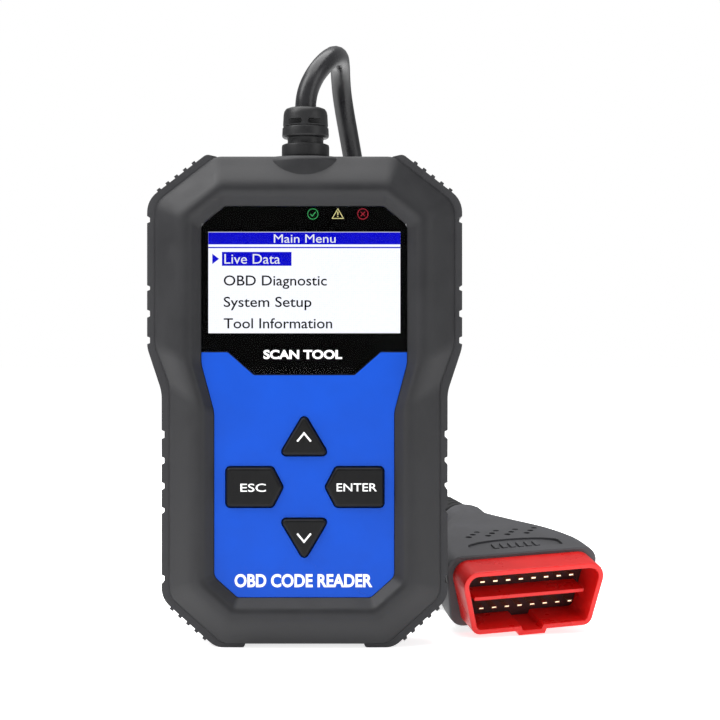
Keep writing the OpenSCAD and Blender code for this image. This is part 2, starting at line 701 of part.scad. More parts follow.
module cable_run_plug() {
    lead_in = in_plug([0, plug_end + 7, 0]);
    color("#3a3a3d") tube(spline(concat(route_plug, [lead_in, in_plug([0, plug_end, 0])]), 2),
                          cord_r);
}

// ---- Plug ----
module plug_section(d) {
    union() {
        polygon(rounded(grown(plug_outline, d), [for (r = plug_radii) r + d], 6));
        polygon(grown(notch_outline, d));
    }
}
module pin_places() {
    for (i = [0:7], side = [-1, 1]) translate([(i - 3.5) * pin_pitch, 0, side * pin_rows / 2])
        children();
}
module plug_shroud() {
    color("#e0201c") in_plug_frame() difference() {
        union() {
            difference() {
                union() {
                    slab(0, shroud_l) plug_section(0);
                    slab(shroud_l - e, shroud_end) polygon(rounded(grown(plug_outline, -insert_in),
                        [for (r = plug_radii) r - insert_in], 6));
                }
                slab(-e, shroud_l) plug_section(-shroud_t);
                slab(-e, shroud_end - shroud_back_t) polygon(rounded(
                    grown(plug_outline, -insert_in - shroud_t),
                    [for (r = plug_radii) max(0.4, r - insert_in - shroud_t)], 6));
            }
            box(-plug_half_foot + 1.2, plug_half_foot - 1.2, divider_y, shroud_end - 1,
                -divider_t / 2, divider_t / 2);
        }
        pin_places() box(-pin_w / 2, pin_w / 2, shroud_end - shroud_back_t - e, shroud_end + e,
                         -pin_h / 2, pin_h / 2);
    }
}
module plug_pins() {
    half = pin_w / 2;
    color("#e8d9a0") in_plug_frame() pin_places() translate([0, 0, -pin_h / 2])
        linear_extrude(pin_h) polygon([[-half, pin_end_y], [-half, pin_tip_y + 1.4],
            [-0.25, pin_tip_y], [0.25, pin_tip_y], [half, pin_tip_y + 1.4], [half, pin_end_y]]);
}
module pin_carrier() {
    w = plug_half_foot - 2.4;
    h = pin_rows / 2 + 1.6;
    color("#181818") in_plug_frame() difference() {
        box(-w, w, shroud_end, shroud_end + carrier_l, -h, h);
        pin_places() box(-pin_w / 2, pin_w / 2, shroud_end - e, shroud_end + carrier_l + e,
                         -pin_h / 2, pin_h / 2);
    }
}
// Grip section: a rounded box with half-width w and half-height h, its middle raised by up
function grip_ring(y, w, h, r, up) = at_y(rounded([[-w * 0.9, up - h], [w * 0.9, up - h], [w, up + h],
    [-w, up + h]], same(r, 4), 6), y);
module plug_grip() {
    front_w = plug_half_top + grip_proud;
    front_h = plug_h / 2 + grip_proud;
    neck_r = cord_r + 4.2;
    color("#6f6d72") in_plug_frame() difference() {
        loft([grip_ring(plug_l, neck_r, neck_r, 6.4, 0),
              grip_ring(plug_l - 3, neck_r + 1.2, neck_r + 0.6, 6.6, 0),
              grip_ring(plug_l - 6, neck_r + 1, neck_r + 0.5, 6.6, 0),
              grip_ring(plug_l - 10, neck_r + 2.4, neck_r + 0.4, 6.4, 0),
              grip_ring(plug_l - 20, front_w * 0.6, front_h * 0.76, 5.6, 0),
              grip_ring(plug_l - 32, front_w * 0.82, front_h * 0.87, 5, 0),
              grip_ring(plug_l - 44, front_w * 0.97, front_h * 0.97, 4.6, 0),
              grip_ring(shroud_l + 3, front_w, front_h, 4.6, 0),
              grip_ring(shroud_l, front_w, front_h, 4.6, 0)]);
        slab(shroud_l - e, shroud_end) polygon(rounded(grown(plug_outline, -insert_in),
            [for (r = plug_radii) r - insert_in], 6));
        box(-plug_half_foot + 2.2, plug_half_foot - 2.2, shroud_end - e, pin_end_y + 2,
            -pin_rows / 2 - 2, pin_rows / 2 + 2);
        rod(0, 0, pin_end_y, plug_l + e, cord_r);
        for (i = [-4:4], row = [0:1])
            translate([i * 3.2 + row * 1.6, plug_l - 37 + row * 4 + abs(i) * 0.35, front_h * 0.7])
                cylinder(h = 8, r = 0.75, $fn = 16);
    }
}
module plug_boot() {
    rib_l = 2.2;
    gap_l = 1.4;
    count = 5;
    color("#2f2f31") in_plug_frame() translate([0, plug_l, 0]) rotate([-90, 0, 0]) rotate_extrude()
        polygon(concat([[cord_r, boot_plug_l], [cord_r, 0]],
            [for (i = [0:count - 1]) let (r = cord_r + 3.4 - i * 0.45, y = i * (rib_l + gap_l))
                each [[r, y], [r, y + rib_l], [r - 1.2, y + rib_l], [r - 1.2, y + rib_l + gap_l]]],
            [[cord_r + 0.5, boot_plug_l]]));
}
module plug_tail() {
    color("#3a3a3d") in_plug_frame() rod(0, 0, pin_end_y + 2, plug_end, cord_r);
}

front_cover();
rear_cover();
left_grip();
right_grip();
face_panel();
display_lens();
lens_mask();
lcd_glass();
lcd_frame();
backlight();
lcd_flex();
key_up();
key_down();
key_esc();
key_enter();
keypad_mat();
snap_domes();
main_board();
main_chip();
support_chips();
capacitors();
crystal();
buzzer();
led_ok();
led_warning();
led_fault();
led_light_guide();
header_socket();
harness_plug();
harness_wires();
board_screws();
case_screws();
rear_label();
cable_boot();
cable_tail();
cable_run_unit();
cable_coil();
coil_tie();
cable_run_plug();
plug_boot();
plug_tail();
plug_grip();
pin_carrier();
plug_shroud();
plug_pins();
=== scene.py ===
# %% [markdown]
# A handheld reader for a car's fault codes: a plastic case with rubber side grips, a colour
# display, four keys and a lead with a 16-pin diagnostic plug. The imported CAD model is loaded
# first as a fixed frame, because every piece that is modelled here has to sit on it.

# %% Load the frame
import math

import bpy
from mathutils import Matrix, Vector


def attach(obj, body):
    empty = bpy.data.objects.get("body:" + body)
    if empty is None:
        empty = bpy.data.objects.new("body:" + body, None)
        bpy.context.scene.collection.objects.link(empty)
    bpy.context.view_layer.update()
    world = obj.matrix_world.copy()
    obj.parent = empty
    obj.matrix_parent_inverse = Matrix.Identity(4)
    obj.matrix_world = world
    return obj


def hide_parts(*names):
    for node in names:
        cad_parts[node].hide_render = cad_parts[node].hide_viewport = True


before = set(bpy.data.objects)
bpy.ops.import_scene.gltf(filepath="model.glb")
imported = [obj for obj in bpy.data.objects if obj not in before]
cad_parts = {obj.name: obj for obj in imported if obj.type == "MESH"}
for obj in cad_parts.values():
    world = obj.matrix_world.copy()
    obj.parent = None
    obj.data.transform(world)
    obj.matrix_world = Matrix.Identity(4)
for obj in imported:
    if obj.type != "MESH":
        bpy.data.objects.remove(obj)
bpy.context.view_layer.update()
MM = 0.001

# %% [markdown]
# The camera looks level at the middle of the case from 464 mm in front of it, through a lens
# of 81 mm on a 36 mm sensor. A long lens this close keeps the case's edges upright, and the
# plug behind it only a little smaller. The colours are shown without a film curve, so that
# the white table stays white.

# %% Camera
bpy.ops.object.camera_add(location=(0.0156, -0.464, 0.081), rotation=(math.radians(90), 0, 0))
camera = bpy.context.object
camera.data.lens = 81
camera.data.sensor_width = 36
camera.data.clip_start = 0.01
bpy.context.scene.camera = camera
bpy.context.scene.view_settings.view_transform = "Standard"
print("camera", tuple(camera.location), "lens", camera.data.lens)

# %% [markdown]
# Materials are built from nodes. One function turns a web colour into linear light, and one
# adds a node with its settings and its links, so that each material below reads as a list of
# what it is made of.

# %% Colour and node helpers
def linear(code):
    """A web colour, such as #3d3d3f, as linear red, green, blue and alpha."""
    parts = [int(code[i:i + 2], 16) / 255 for i in (1, 3, 5)]
    return tuple(c / 12.92 if c <= 0.04045 else ((c + 0.055) / 1.055) ** 2.4 for c in parts) + (1,)


def add(tree, kind, inputs=(), links=(), **settings):
    """A node of that kind, with values for its inputs, sockets linked to them, and settings."""
    node = tree.nodes.new(kind)
    for key, value in settings.items():
        setattr(node, key, value)
    for key, value in dict(inputs).items():
        node.inputs[key].default_value = value
    for key, socket in dict(links).items():
        tree.links.new(socket, node.inputs[key])
    return node


def new_material(name, roughness=0.5, ior=1.5, specular=0.5, metallic=0.0):
    """An empty material of that name, its node tree and its shader, with constant values set."""
    material = bpy.data.materials.new(name)
    material.use_nodes = True
    tree = material.node_tree
    bsdf = tree.nodes["Principled BSDF"]
    bsdf.inputs["Roughness"].default_value = roughness
    bsdf.inputs["IOR"].default_value = ior
    bsdf.inputs["Specular IOR Level"].default_value = specular
    bsdf.inputs["Metallic"].default_value = metallic
    return material, tree, bsdf


def paint(piece, material):
    """Gives a piece that one material."""
    piece.data.materials.clear()
    piece.data.materials.append(material)


print("mid grey as linear light:", [round(c, 3) for c in linear("#808080")])

# %% [markdown]
# Most of the pieces are moulded plastic or rubber. The mould's spark-worn surface leaves a
# fine grain, which breaks up the shine, and the colour drifts a little where the material
# flowed and where hands have polished it. The real grain is about 0.1 mm. It is drawn at
# 0.5 to 0.9 mm, or it would not show at the size of the object in the picture.

# %% Moulded plastics and rubbers
def moulded(name, dark, light, roughness, spread=0.06, grain=0.6, depth=0.012, patch=9.0,
            specular=0.3):
    """Plastic from a textured mould: sizes of the grain, its depth and the patches in mm."""
    material, tree, bsdf = new_material(name, roughness, specular=specular)
    place = add(tree, "ShaderNodeTexCoord").outputs["Object"]
    patches = add(tree, "ShaderNodeTexNoise", {"Scale": 1 / (patch * MM), "Detail": 3.0,
                                               "Roughness": 0.55}, {"Vector": place})
    colour = add(tree, "ShaderNodeValToRGB", links={"Fac": patches.outputs["Fac"]})
    colour.color_ramp.elements[0].position = 0.32
    colour.color_ramp.elements[0].color = linear(dark)
    colour.color_ramp.elements[1].position = 0.68
    colour.color_ramp.elements[1].color = linear(light)
    wear = add(tree, "ShaderNodeMapRange", {"From Min": 0.3, "From Max": 0.7,
                                            "To Min": roughness - spread,
                                            "To Max": roughness + spread},
               {"Value": patches.outputs["Fac"]})
    fine = add(tree, "ShaderNodeTexNoise", {"Scale": 1 / (grain * MM), "Detail": 2.0},
               {"Vector": place})
    bump = add(tree, "ShaderNodeBump", {"Strength": 1.0, "Distance": depth * MM},
               {"Height": fine.outputs["Fac"]})
    tree.links.new(colour.outputs["Color"], bsdf.inputs["Base Color"])
    tree.links.new(wear.outputs["Result"], bsdf.inputs["Roughness"])
    tree.links.new(bump.outputs["Normal"], bsdf.inputs["Normal"])
    return material


# ABS with a soft-touch texture: dark grey with a broad, soft shine
case_abs = moulded("textured_abs_charcoal", "#1e1e20", "#232325", 0.46, grain=0.7, depth=0.014)
# Thermoplastic rubber: a shade lighter and duller than the case
grip_rubber = moulded("thermoplastic_rubber_grey", "#2a2a2c", "#303032", 0.6, grain=0.9,
                      depth=0.02)
# Painted ABS: a saturated blue with a fine silk finish
blue_paint = moulded("silk_painted_abs_blue", "#0043b0", "#0047b9", 0.45, 0.04, 0.5, 0.006, 14,
                     0.2)
# Silicone-coated ABS keys: nearly black with a soft shine on the rounded edges
key_coat = moulded("coated_key_plastic_black", "#0c0c0d", "#111112", 0.38, 0.05, 0.6, 0.006, 5,
                     0.16)
# Plasticised PVC of the lead and its bends: dark and slightly glossy, with flow marks
lead_pvc = moulded("plasticised_pvc_dark_grey", "#1c1c1e", "#222224", 0.3, 0.06, 0.8, 0.012, 6,
                   0.4)
boot_pvc = moulded("moulded_pvc_black", "#19191a", "#202021", 0.42, 0.05, 0.7, 0.01, 5)
# PVC moulded over the plug's insert: mid grey, matt, finely textured
plug_pvc = moulded("overmoulded_pvc_grey", "#454547", "#4c4c4f", 0.48, 0.05, 0.6, 0.014, 8)
# Nylon shroud: bright red with a clear shine
shroud_nylon = moulded("moulded_nylon_red", "#cf1311", "#d91a17", 0.3, 0.05, 0.8, 0.006, 10, 0.4)
# Painted shade: a plate of the same nylon in near-black red at the back of the plug's mouth,
# standing for the shade deep inside it
painted_shade_nylon = moulded("nylon_dark_red_painted_shade", "#2a0707", "#340909", 0.5, 0.05, 0.8, 0.006, 6)
# Nylon strap: black, with a fine weave-like grain
strap_nylon = moulded("woven_nylon_black", "#101011", "#18181a", 0.7, 0.05, 0.9, 0.04, 3)
# Inside pieces
white_abs = moulded("moulded_abs_white", "#d4d4ce", "#dededa", 0.5, 0.05, 0.8, 0.01, 8)
silicone = moulded("silicone_rubber_grey", "#b9b9b4", "#c6c6c1", 0.55, 0.05, 0.8, 0.01, 7)
nylon_cream = moulded("connector_nylon_cream", "#ddd8c8", "#e8e3d4", 0.45, 0.05, 0.7, 0.01, 4)
chip_epoxy = moulded("moulded_epoxy_black", "#161617", "#1e1e20", 0.55, 0.05, 0.5, 0.012, 3)
wire_pvc = moulded("wire_pvc_red", "#8e1c1c", "#a32222", 0.4, 0.05, 0.6, 0.006, 4)
polyimide = moulded("polyimide_film_amber", "#a8661c", "#b97524", 0.3, 0.05, 0.8, 0.004, 4)
print("moulded materials:", len(bpy.data.materials))

# %% [markdown]
# Metals keep their own default index. Steel screws are zinc plated, with a slightly blotchy
# grey-blue shine. The plug's pins are brass with a pale gold flash, and the springs under the
# keys are stainless steel.

# %% Metals
def metal(name, dark, light, roughness, patch, depth=0.004):
    """A plated or rolled metal with blotches of that size in mm."""
    material, tree, bsdf = new_material(name, roughness, metallic=1.0)
    place = add(tree, "ShaderNodeTexCoord").outputs["Object"]
    blotch = add(tree, "ShaderNodeTexNoise", {"Scale": 1 / (patch * MM), "Detail": 4.0},
                 {"Vector": place})
    colour = add(tree, "ShaderNodeValToRGB", links={"Fac": blotch.outputs["Fac"]})
    colour.color_ramp.elements[0].color = linear(dark)
    colour.color_ramp.elements[1].color = linear(light)
    wear = add(tree, "ShaderNodeMapRange", {"To Min": roughness * 0.7, "To Max": roughness * 1.4},
               {"Value": blotch.outputs["Fac"]})
    bump = add(tree, "ShaderNodeBump", {"Distance": depth * MM}, {"Height": blotch.outputs["Fac"]})
    tree.links.new(colour.outputs["Color"], bsdf.inputs["Base Color"])
    tree.links.new(wear.outputs["Result"], bsdf.inputs["Roughness"])
    tree.links.new(bump.outputs["Normal"], bsdf.inputs["Normal"])
    return material


zinc_steel = metal("zinc_plated_steel", "#8d9298", "#b4b9be", 0.32, 1.2)
gold_brass = metal("gold_flashed_brass", "#f1dfae", "#fff4d6", 0.22, 1.0)
stainless = metal("rolled_stainless_steel", "#b0b3b6", "#cfd1d3", 0.25, 1.5)
aluminium = metal("drawn_aluminium_can", "#9ea3a8", "#c3c7cb", 0.3, 2.0)
print("metals ready")

# %% [markdown]
# The window over the display is clear acrylic, printed black behind except over the picture
# and the three lamps. So the black here is two things, as on the real one: a glossy clear
# sheet and a dull black ink under it. Real acrylic has an index of 1.49. Here it is 1.13,
# which is too low for acrylic by itself, and stands for its anti-glare coat.

# %% Acrylic and inks
COATED_INDEX = 1.13


def clear_sheet():
    """Cast acrylic with an anti-glare coat, polished and nearly without reflections."""
    material, tree, bsdf = new_material("clear_cast_acrylic", 0.0, COATED_INDEX)
    bsdf.inputs["Transmission Weight"].default_value = 1.0
    place = add(tree, "ShaderNodeTexCoord").outputs["Object"]
    waves = add(tree, "ShaderNodeTexNoise", {"Scale": 60.0}, {"Vector": place})
    tint = add(tree, "ShaderNodeValToRGB", links={"Fac": waves.outputs["Fac"]})
    tint.color_ramp.elements[0].color = linear("#fafcff")
    tint.color_ramp.elements[1].color = linear("#ffffff")
    tree.links.new(tint.outputs["Color"], bsdf.inputs["Base Color"])
    return material


def ink(name, dark, light, glow=0.0, grain=0.35, roughness=0.8):
    """Screen-printed ink, slightly uneven, which glows where glow is above 0: lit from behind on
    the display and over the lamps, a painted glow on the white prints.
    """
    material, tree, bsdf = new_material(name, roughness, specular=0.0)
    place = add(tree, "ShaderNodeTexCoord").outputs["Object"]
    dots = add(tree, "ShaderNodeTexNoise", {"Scale": 1 / (grain * MM), "Detail": 1.0},
               {"Vector": place})
    colour = add(tree, "ShaderNodeValToRGB", links={"Fac": dots.outputs["Fac"]})
    colour.color_ramp.elements[0].position = 0.3
    colour.color_ramp.elements[0].color = linear(dark)
    colour.color_ramp.elements[1].position = 0.7
    colour.color_ramp.elements[1].color = linear(light)
    if glow < 0.5:
        tree.links.new(colour.outputs["Color"], bsdf.inputs["Base Color"])
    else:
        bsdf.inputs["Base Color"].default_value = linear("#08080a")
    if glow:
        tree.links.new(colour.outputs["Color"], bsdf.inputs["Emission Color"])
        bsdf.inputs["Emission Strength"].default_value = glow
    return material


acrylic = clear_sheet()
mask_ink = ink("screen_ink_black", "#020202", "#050505")
# White print with a small painted glow (0.12): painted light on the keys and the panel
white_ink_painted_glow = ink("screen_ink_white_painted_glow", "#e9e9e9", "#f6f6f6", 0.12)
# White print on the window, with a stronger painted glow (0.3): painted light
window_ink_painted_glow = ink("lens_ink_white_painted_glow", "#e6e6e6", "#f4f4f4", 0.3)
print("materials so far:", len(bpy.data.materials))

# %% [markdown]
# The display is a liquid crystal with a light behind it. Each of its elements lets red, green
# or blue light through, so a display glows by itself. Here the white field has a faint grid,
# and the lit signs are inks that glow. The lamps are epoxy, dyed in the lamp's own colour.

# %% Display, lamps and films
def liquid_crystal():
    """A lit colour display: a white field with the faint grid of its picture elements."""
    material, tree, bsdf = new_material("backlit_liquid_crystal", 0.25, specular=0.1)
    place = add(tree, "ShaderNodeTexCoord").outputs["Object"]
    upright = add(tree, "ShaderNodeMapping", {"Rotation": (math.radians(-90), 0, 0)},
                  {"Vector": place})
    # Real picture elements are 0.17 mm; they are drawn 0.6 mm apart so that they can be seen
    cells = add(tree, "ShaderNodeTexBrick",
                {"Scale": 1 / (0.6 * MM), "Mortar Size": 0.06, "Mortar Smooth": 0.5,
                 "Brick Width": 1.0, "Row Height": 1.0, "Color1": linear("#fbfcff"),
                 "Color2": linear("#f6f8ff"), "Mortar": linear("#eceff8")},
                {"Vector": upright.outputs["Vector"]}, offset=0.0)
    tree.links.new(cells.outputs["Color"], bsdf.inputs["Emission Color"])
    bsdf.inputs["Base Color"].default_value = linear("#101114")
    bsdf.inputs["Emission Strength"].default_value = 1.08
    return material


lcd_white = liquid_crystal()
lcd_blue = ink("lit_crystal_blue", "#0606c0", "#0a0ad2", 1.0, 0.6)
lcd_black = ink("lit_crystal_black", "#030305", "#08080c", 0.0, 0.6)
lcd_text_white = ink("lit_crystal_white", "#f4f6ff", "#ffffff", 0.9, 0.6)
icon_green = ink("lamp_window_green", "#2c8a48", "#3da05c", 0.4)
icon_amber = ink("lamp_window_amber", "#b3a970", "#cfc48a", 0.45)
icon_red = ink("lamp_window_red", "#8c1f2c", "#a42a38", 0.4)
lamp_green = ink("led_epoxy_green", "#2cae48", "#38c455", 0.4)
lamp_amber = ink("led_epoxy_amber", "#d8b428", "#ecc83a", 0.4)
lamp_red = ink("led_epoxy_red", "#cc2626", "#e03434", 0.4)
label_film = metal("satin_polyester_film_silver", "#a9acb0", "#bfc2c5", 0.45, 3.0)
label_film.node_tree.nodes["Principled BSDF"].inputs["Metallic"].default_value = 0.55
frosted = ink("frosted_acrylic", "#ccd4d8", "#e2e8eb", 0.0, 0.8, 0.35)
print("materials so far:", len(bpy.data.materials))

# %% [markdown]
# The circuit board is woven glass fibre in epoxy, under green solder mask. Its copper tracks
# lie under the mask and show as lighter lines, a little raised. A brick pattern gives such
# lines, because its mortar is one connected net.

# %% Circuit board
def circuit_board():
    """Fibreglass board under green solder mask, with copper tracks showing through."""
    material, tree, bsdf = new_material("fr4_green_solder_mask", 0.35)
    place = add(tree, "ShaderNodeTexCoord").outputs["Object"]
    upright = add(tree, "ShaderNodeMapping", {"Rotation": (math.radians(-90), 0, 0)},
                  {"Vector": place})
    tracks = add(tree, "ShaderNodeTexBrick",
                 {"Scale": 1 / (3.0 * MM), "Mortar Size": 0.09, "Mortar Smooth": 0.1,
                  "Brick Width": 2.4, "Row Height": 0.6, "Color1": linear("#17552f"),
                  "Color2": linear("#1a5c33"), "Mortar": linear("#2f8a4d")},
                 {"Vector": upright.outputs["Vector"]})
    tree.links.new(tracks.outputs["Color"], bsdf.inputs["Base Color"])
    bump = add(tree, "ShaderNodeBump", {"Distance": 0.03 * MM}, {"Height": tracks.outputs["Fac"]})
    tree.links.new(bump.outputs["Normal"], bsdf.inputs["Normal"])
    return material


board_green = circuit_board()
print("materials:", len(bpy.data.materials))

# %% [markdown]
# The case stands on a white light table, under one broad soft light from above and two weaker
# ones in front. A broad light gives the long, soft shine on the case's shoulders, and the
# table throws light back up under them. The table glows a little by itself, as a real one
# does, so that it stays white as far as one can see, from every side.

# %% Floor and lights
bpy.ops.object.select_all(action="DESELECT")
bpy.ops.mesh.primitive_plane_add(size=30.0, location=(0, 0, 0))
table_top = bpy.context.object
table_top.name = "light_table"
table_paper = ink("matt_white_table", "#f4f4f4", "#f8f8f8", 0.0, 3.0, 0.9)
glow = table_paper.node_tree.nodes["Principled BSDF"].inputs
glow["Emission Color"].default_value = linear("#ffffff")
glow["Emission Strength"].default_value = 0.74
table_top.data.materials.append(table_paper)

for name, place, target, width, depth, power in (
        ("overhead_softbox", (-0.1, 0.0, 0.85), (0, 0, 0.05), 1.1, 0.8, 10.0),
        ("left_softbox", (-0.7, -0.3, 0.75), (0, 0, 0.08), 0.5, 0.6, 6.5),
        ("right_softbox", (0.8, -0.5, 0.45), (0.03, 0, 0.06), 0.5, 0.6, 1.8)):
    lamp = bpy.data.objects.new(name, bpy.data.lights.new(name, "AREA"))
    lamp.data.shape = "RECTANGLE"
    lamp.data.size, lamp.data.size_y, lamp.data.energy = width, depth, power
    lamp.location = place
    lamp.rotation_euler = (Vector(target) - Vector(place)).to_track_quat("-Z", "Y").to_euler()
    bpy.context.scene.collection.objects.link(lamp)
room = bpy.data.worlds.new("pale_room")
room.use_nodes = True
tree = room.node_tree
tree.nodes["Background"].inputs["Color"].default_value = linear("#f7f8fa")
tree.nodes["Background"].inputs["Strength"].default_value = 0.36
# The room is dim for lighting, but it shows as white where nothing stands in front of it
seen = add(tree, "ShaderNodeBackground", {"Color": linear("#ffffff"), "Strength": 1.0})
either = add(tree, "ShaderNodeMixShader")
tree.links.new(add(tree, "ShaderNodeLightPath").outputs["Is Camera Ray"], either.inputs[0])
tree.links.new(tree.nodes["Background"].outputs[0], either.inputs[1])
tree.links.new(seen.outputs[0], either.inputs[2])
tree.links.new(either.outputs[0], tree.nodes["World Output"].inputs["Surface"])
bpy.context.scene.world = room

# %% [markdown]
# The lead is one length of round PVC cable. It leaves the case straight up, bends over to the
# back and falls behind the case to the table, where its spare length is wound into a neat
# coil of two columns of turns. The last turn climbs off the coil into the plug. It is made as
# a curve with a round section, because a curve is what a cable is: a centreline and a
# diameter. The outer turns wind down and the inner ones wind up, one diameter in each turn,
# so that every turn lies on the one below.

# %% Lead
plug_place = Matrix.Translation(Vector((66.5, 9.5, 11.1)) * MM) @ Matrix.Rotation(
    math.radians(16), 4, "Z") @ Matrix.Rotation(math.radians(13.5), 4, "X") @ Matrix.Rotation(
    math.radians(-2.5), 4, "Y")
COIL = (18, 88)


def through(points, steps):
    """A smooth run of points through the given ones."""
    run = []
    for i in range(len(points) - 1):
        a, b, c, d = (Vector(points[min(max(k, 0), len(points) - 1)]) for k in range(i - 1, i + 3))
        for s in range(steps):
            u = s / steps
            run.append(0.5 * (2 * b + (c - a) * u + (2 * a - 5 * b + 4 * c - d) * u * u
                              + (3 * b - a - 3 * c + d) * u ** 3))
    return run + [Vector(points[-1])]


def coil_point(turned):
    """The place on the coil after that many degrees, clockwise from its left side."""
    step = min(max((turned - 720) / 60, 0), 1)
    radius = 33 - 6 * step * step * (3 - 2 * step)
    height = 15 - turned / 60 if turned < 720 else 3 + max(turned - 780, 0) / 60
    angle = math.radians(180 - turned)
    return (COIL[0] + radius * math.cos(angle), COIL[1] + radius * math.sin(angle), height)


leaving = [(0, 0, 153), (0.15, 0.02, 155.3), (0.65, 0.2, 157.9), (1.6, 0.75, 160.6),
           (2.95, 1.95, 163.3), (4.6, 4.1, 165.9), (6.3, 7.5, 168.3), (7.8, 12.1, 170.2),
           (8.9, 17.8, 171.2), (9.4, 22.6, 171), (9.6, 27.2, 169.7), (9.7, 31.4, 167),
           (10.1, 34.7, 162.6), (11, 37, 156.8), (12.2, 38.6, 150.2), (13.8, 40, 141),
           (15.8, 41.3, 128), (17.4, 42.2, 112), (17, 42.3, 92.5), (13.6, 42.3, 73),
           (7.8, 42.6, 56), (0.5, 44.6, 40.5), (-6.3, 50, 29), (-11.4, 58.5, 21),
           (-14.3, 68.5, 16.6), (-15, 78.5, 15.1)]
wound = [coil_point(turned) for turned in range(0, 1346, 15)]
joining = [(11, 61.9, 12.8), (2.5, 65.9, 13.4), (-4.1, 72.5, 15), (-8.1, 81, 17.7),
           (-8.3, 91.9, 20.8), (-5.7, 100.3, 24), (-0.4, 107.4, 27.3), (6.9, 112.5, 30.4),
           (15.4, 114.8, 32.9), (24.1, 113.8, 34.6), (31.9, 110.1, 35.2), (38.1, 103.9, 34.6)]
plug_rear = [tuple(plug_place @ (Vector((0, y, 0)) * MM) / MM) for y in (93, 86)]
route = through(leaving, 4)[:-1] + through([leaving[-1]] + wound + joining + plug_rear, 3)
lead_curve = bpy.data.curves.new("diagnostic_lead", "CURVE")
lead_curve.dimensions = "3D"
lead_curve.bevel_depth = 3 * MM
lead_curve.bevel_resolution = 6
lead_curve.use_fill_caps = True
line = lead_curve.splines.new("POLY")
line.points.add(len(route) - 1)
for point, at in zip(line.points, route):
    point.co = (*(at * MM), 1)
line.use_smooth = True
lead = bpy.data.objects.new("diagnostic_lead", lead_curve)
bpy.context.scene.collection.objects.link(lead)
lead_curve.materials.append(lead_pvc)
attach(lead, "housing")
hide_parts("cable_run_unit", "cable_coil", "cable_run_plug")

# %% [markdown]
# Modelling helpers. The shells and caps of this object all have a flat outline, with straight
# sides and rounded corners, that changes from one depth to the next. So each starts as a
# circle whose points are set on the first outline. It is then extruded, as by hand with E, and
# the new points are set on the next outline. Openings are cut with a Boolean modifier, and
# edges are eased with a Bevel modifier.

# %% Outlines
def grown(points, d):
    """Moves each side of an anticlockwise outline outwards by d."""
    moved = []
    for i, b in enumerate(points):
        a, b, c = Vector(points[i - 1]), Vector(b), Vector(points[(i + 1) % len(points)])
        u, v = (b - a).normalized(), (c - b).normalized()
        p, q = Vector((u.y, -u.x)), Vector((v.y, -v.x))
        moved.append(tuple(b + (p + q) * d / (1 + p.dot(q))))
    return moved


def rounded(points, radii, steps=7):
    """Rounds each corner of an outline with its radius."""
    run = []
    for i, b in enumerate(points):
        a, b, c = Vector(points[i - 1]), Vector(b), Vector(points[(i + 1) % len(points)])
        u, v = (a - b).normalized(), (c - b).normalized()
        half, r = u.angle(v) / 2, radii[i]
        middle = b + (u + v).normalized() * r / math.sin(half)
        first, last = b + u * r / math.tan(half) - middle, b + v * r / math.tan(half) - middle
        start = math.atan2(first.y, first.x)
        turn = (math.atan2(last.y, last.x) - start + 3 * math.pi) % (2 * math.pi) - math.pi
        run += [tuple(middle + r * Vector((math.cos(start + turn * k / steps),
                                           math.sin(start + turn * k / steps))))
                for k in range(steps + 1)]
    return run


def both_halves(half):
    """Adds the left half of an outline, or of its corner radii, to the right one."""
    if isinstance(half[0], (int, float)):
        return half + half[::-1]
    return half + [(-x, z) for x, z in reversed(half)]


def mixed(a, b, t):
    """Numbers or points part of the way from a to b."""
    if isinstance(a, (int, float)):
        return a + (b - a) * t
    return [mixed(p, q, t) for p, q in zip(a, b)]


print("a rounded square has", len(rounded([(0, 0), (9, 0), (9, 9), (0, 9)], [1] * 4)), "points")

# %% [markdown]
# The case's own outlines. Its edge has slanted corners and a waist for the hand, and the
# opening in its face follows it. Only the right half is written down, as the case is
# symmetrical. Depths are counted from the parting line, and the front is at negative y.

# %% Case outlines
BED, FACE_FRONT, KEY_FRONT = -10, -11.2, -12.4      # sunk bed, face panel and keys, in mm
WINDOW_BACK, LCD_FRONT = -10.27, -9.8
COVER = [(23.3, 1.1), (38.2, 14.5), (38.2, 74), (42.3, 85), (42.3, 125.2), (25.3, 138.3)]
COVER_R = [6, 6, 12, 12, 7, 6]
FACE = [(18.7, 14.5), (25.3, 20.4), (25.3, 66.5), (28.9, 80), (28.9, 118.7), (22.2, 124.1)]
FACE_R = [2, 3, 9, 9, 2.5, 2]


def face_ring(t, steps=7):
    """The outline between the case's edge, at 0, and the face opening, at 1."""
    return rounded(both_halves(mixed(COVER, FACE, t)), both_halves(mixed(COVER_R, FACE_R, t)),
                   steps)


def case_inset(d):
    """The case's edge, moved inwards by d."""
    return rounded(grown(both_halves(COVER), -d), both_halves([max(1.5, r - d) for r in COVER_R]))


def at_y(points, y):
    """Stands an outline up at that depth."""
    return [(x, y, z) for x, z in points]


def round_ring(radius, z, count=48, middle=(0, 0)):
    """A level circle."""
    return [(middle[0] + radius * math.cos(2 * math.pi * k / count),
             middle[1] + radius * math.sin(2 * math.pi * k / count), z) for k in range(count)]


print("case outline has", len(face_ring(0)), "points")

# %% [markdown]
# A skin is the main way to make a piece here: a filled circle is set on the first ring and
# extruded to each next one. It is closed at both ends, so it is solid, and its normals are
# then all turned outwards. A plate is the shortest skin, with only a back and a front.

# %% Skins and plates
def only(piece):
    """Selects one piece and makes it active."""
    bpy.ops.object.select_all(action="DESELECT")
    piece.select_set(True)
    bpy.context.view_layer.objects.active = piece


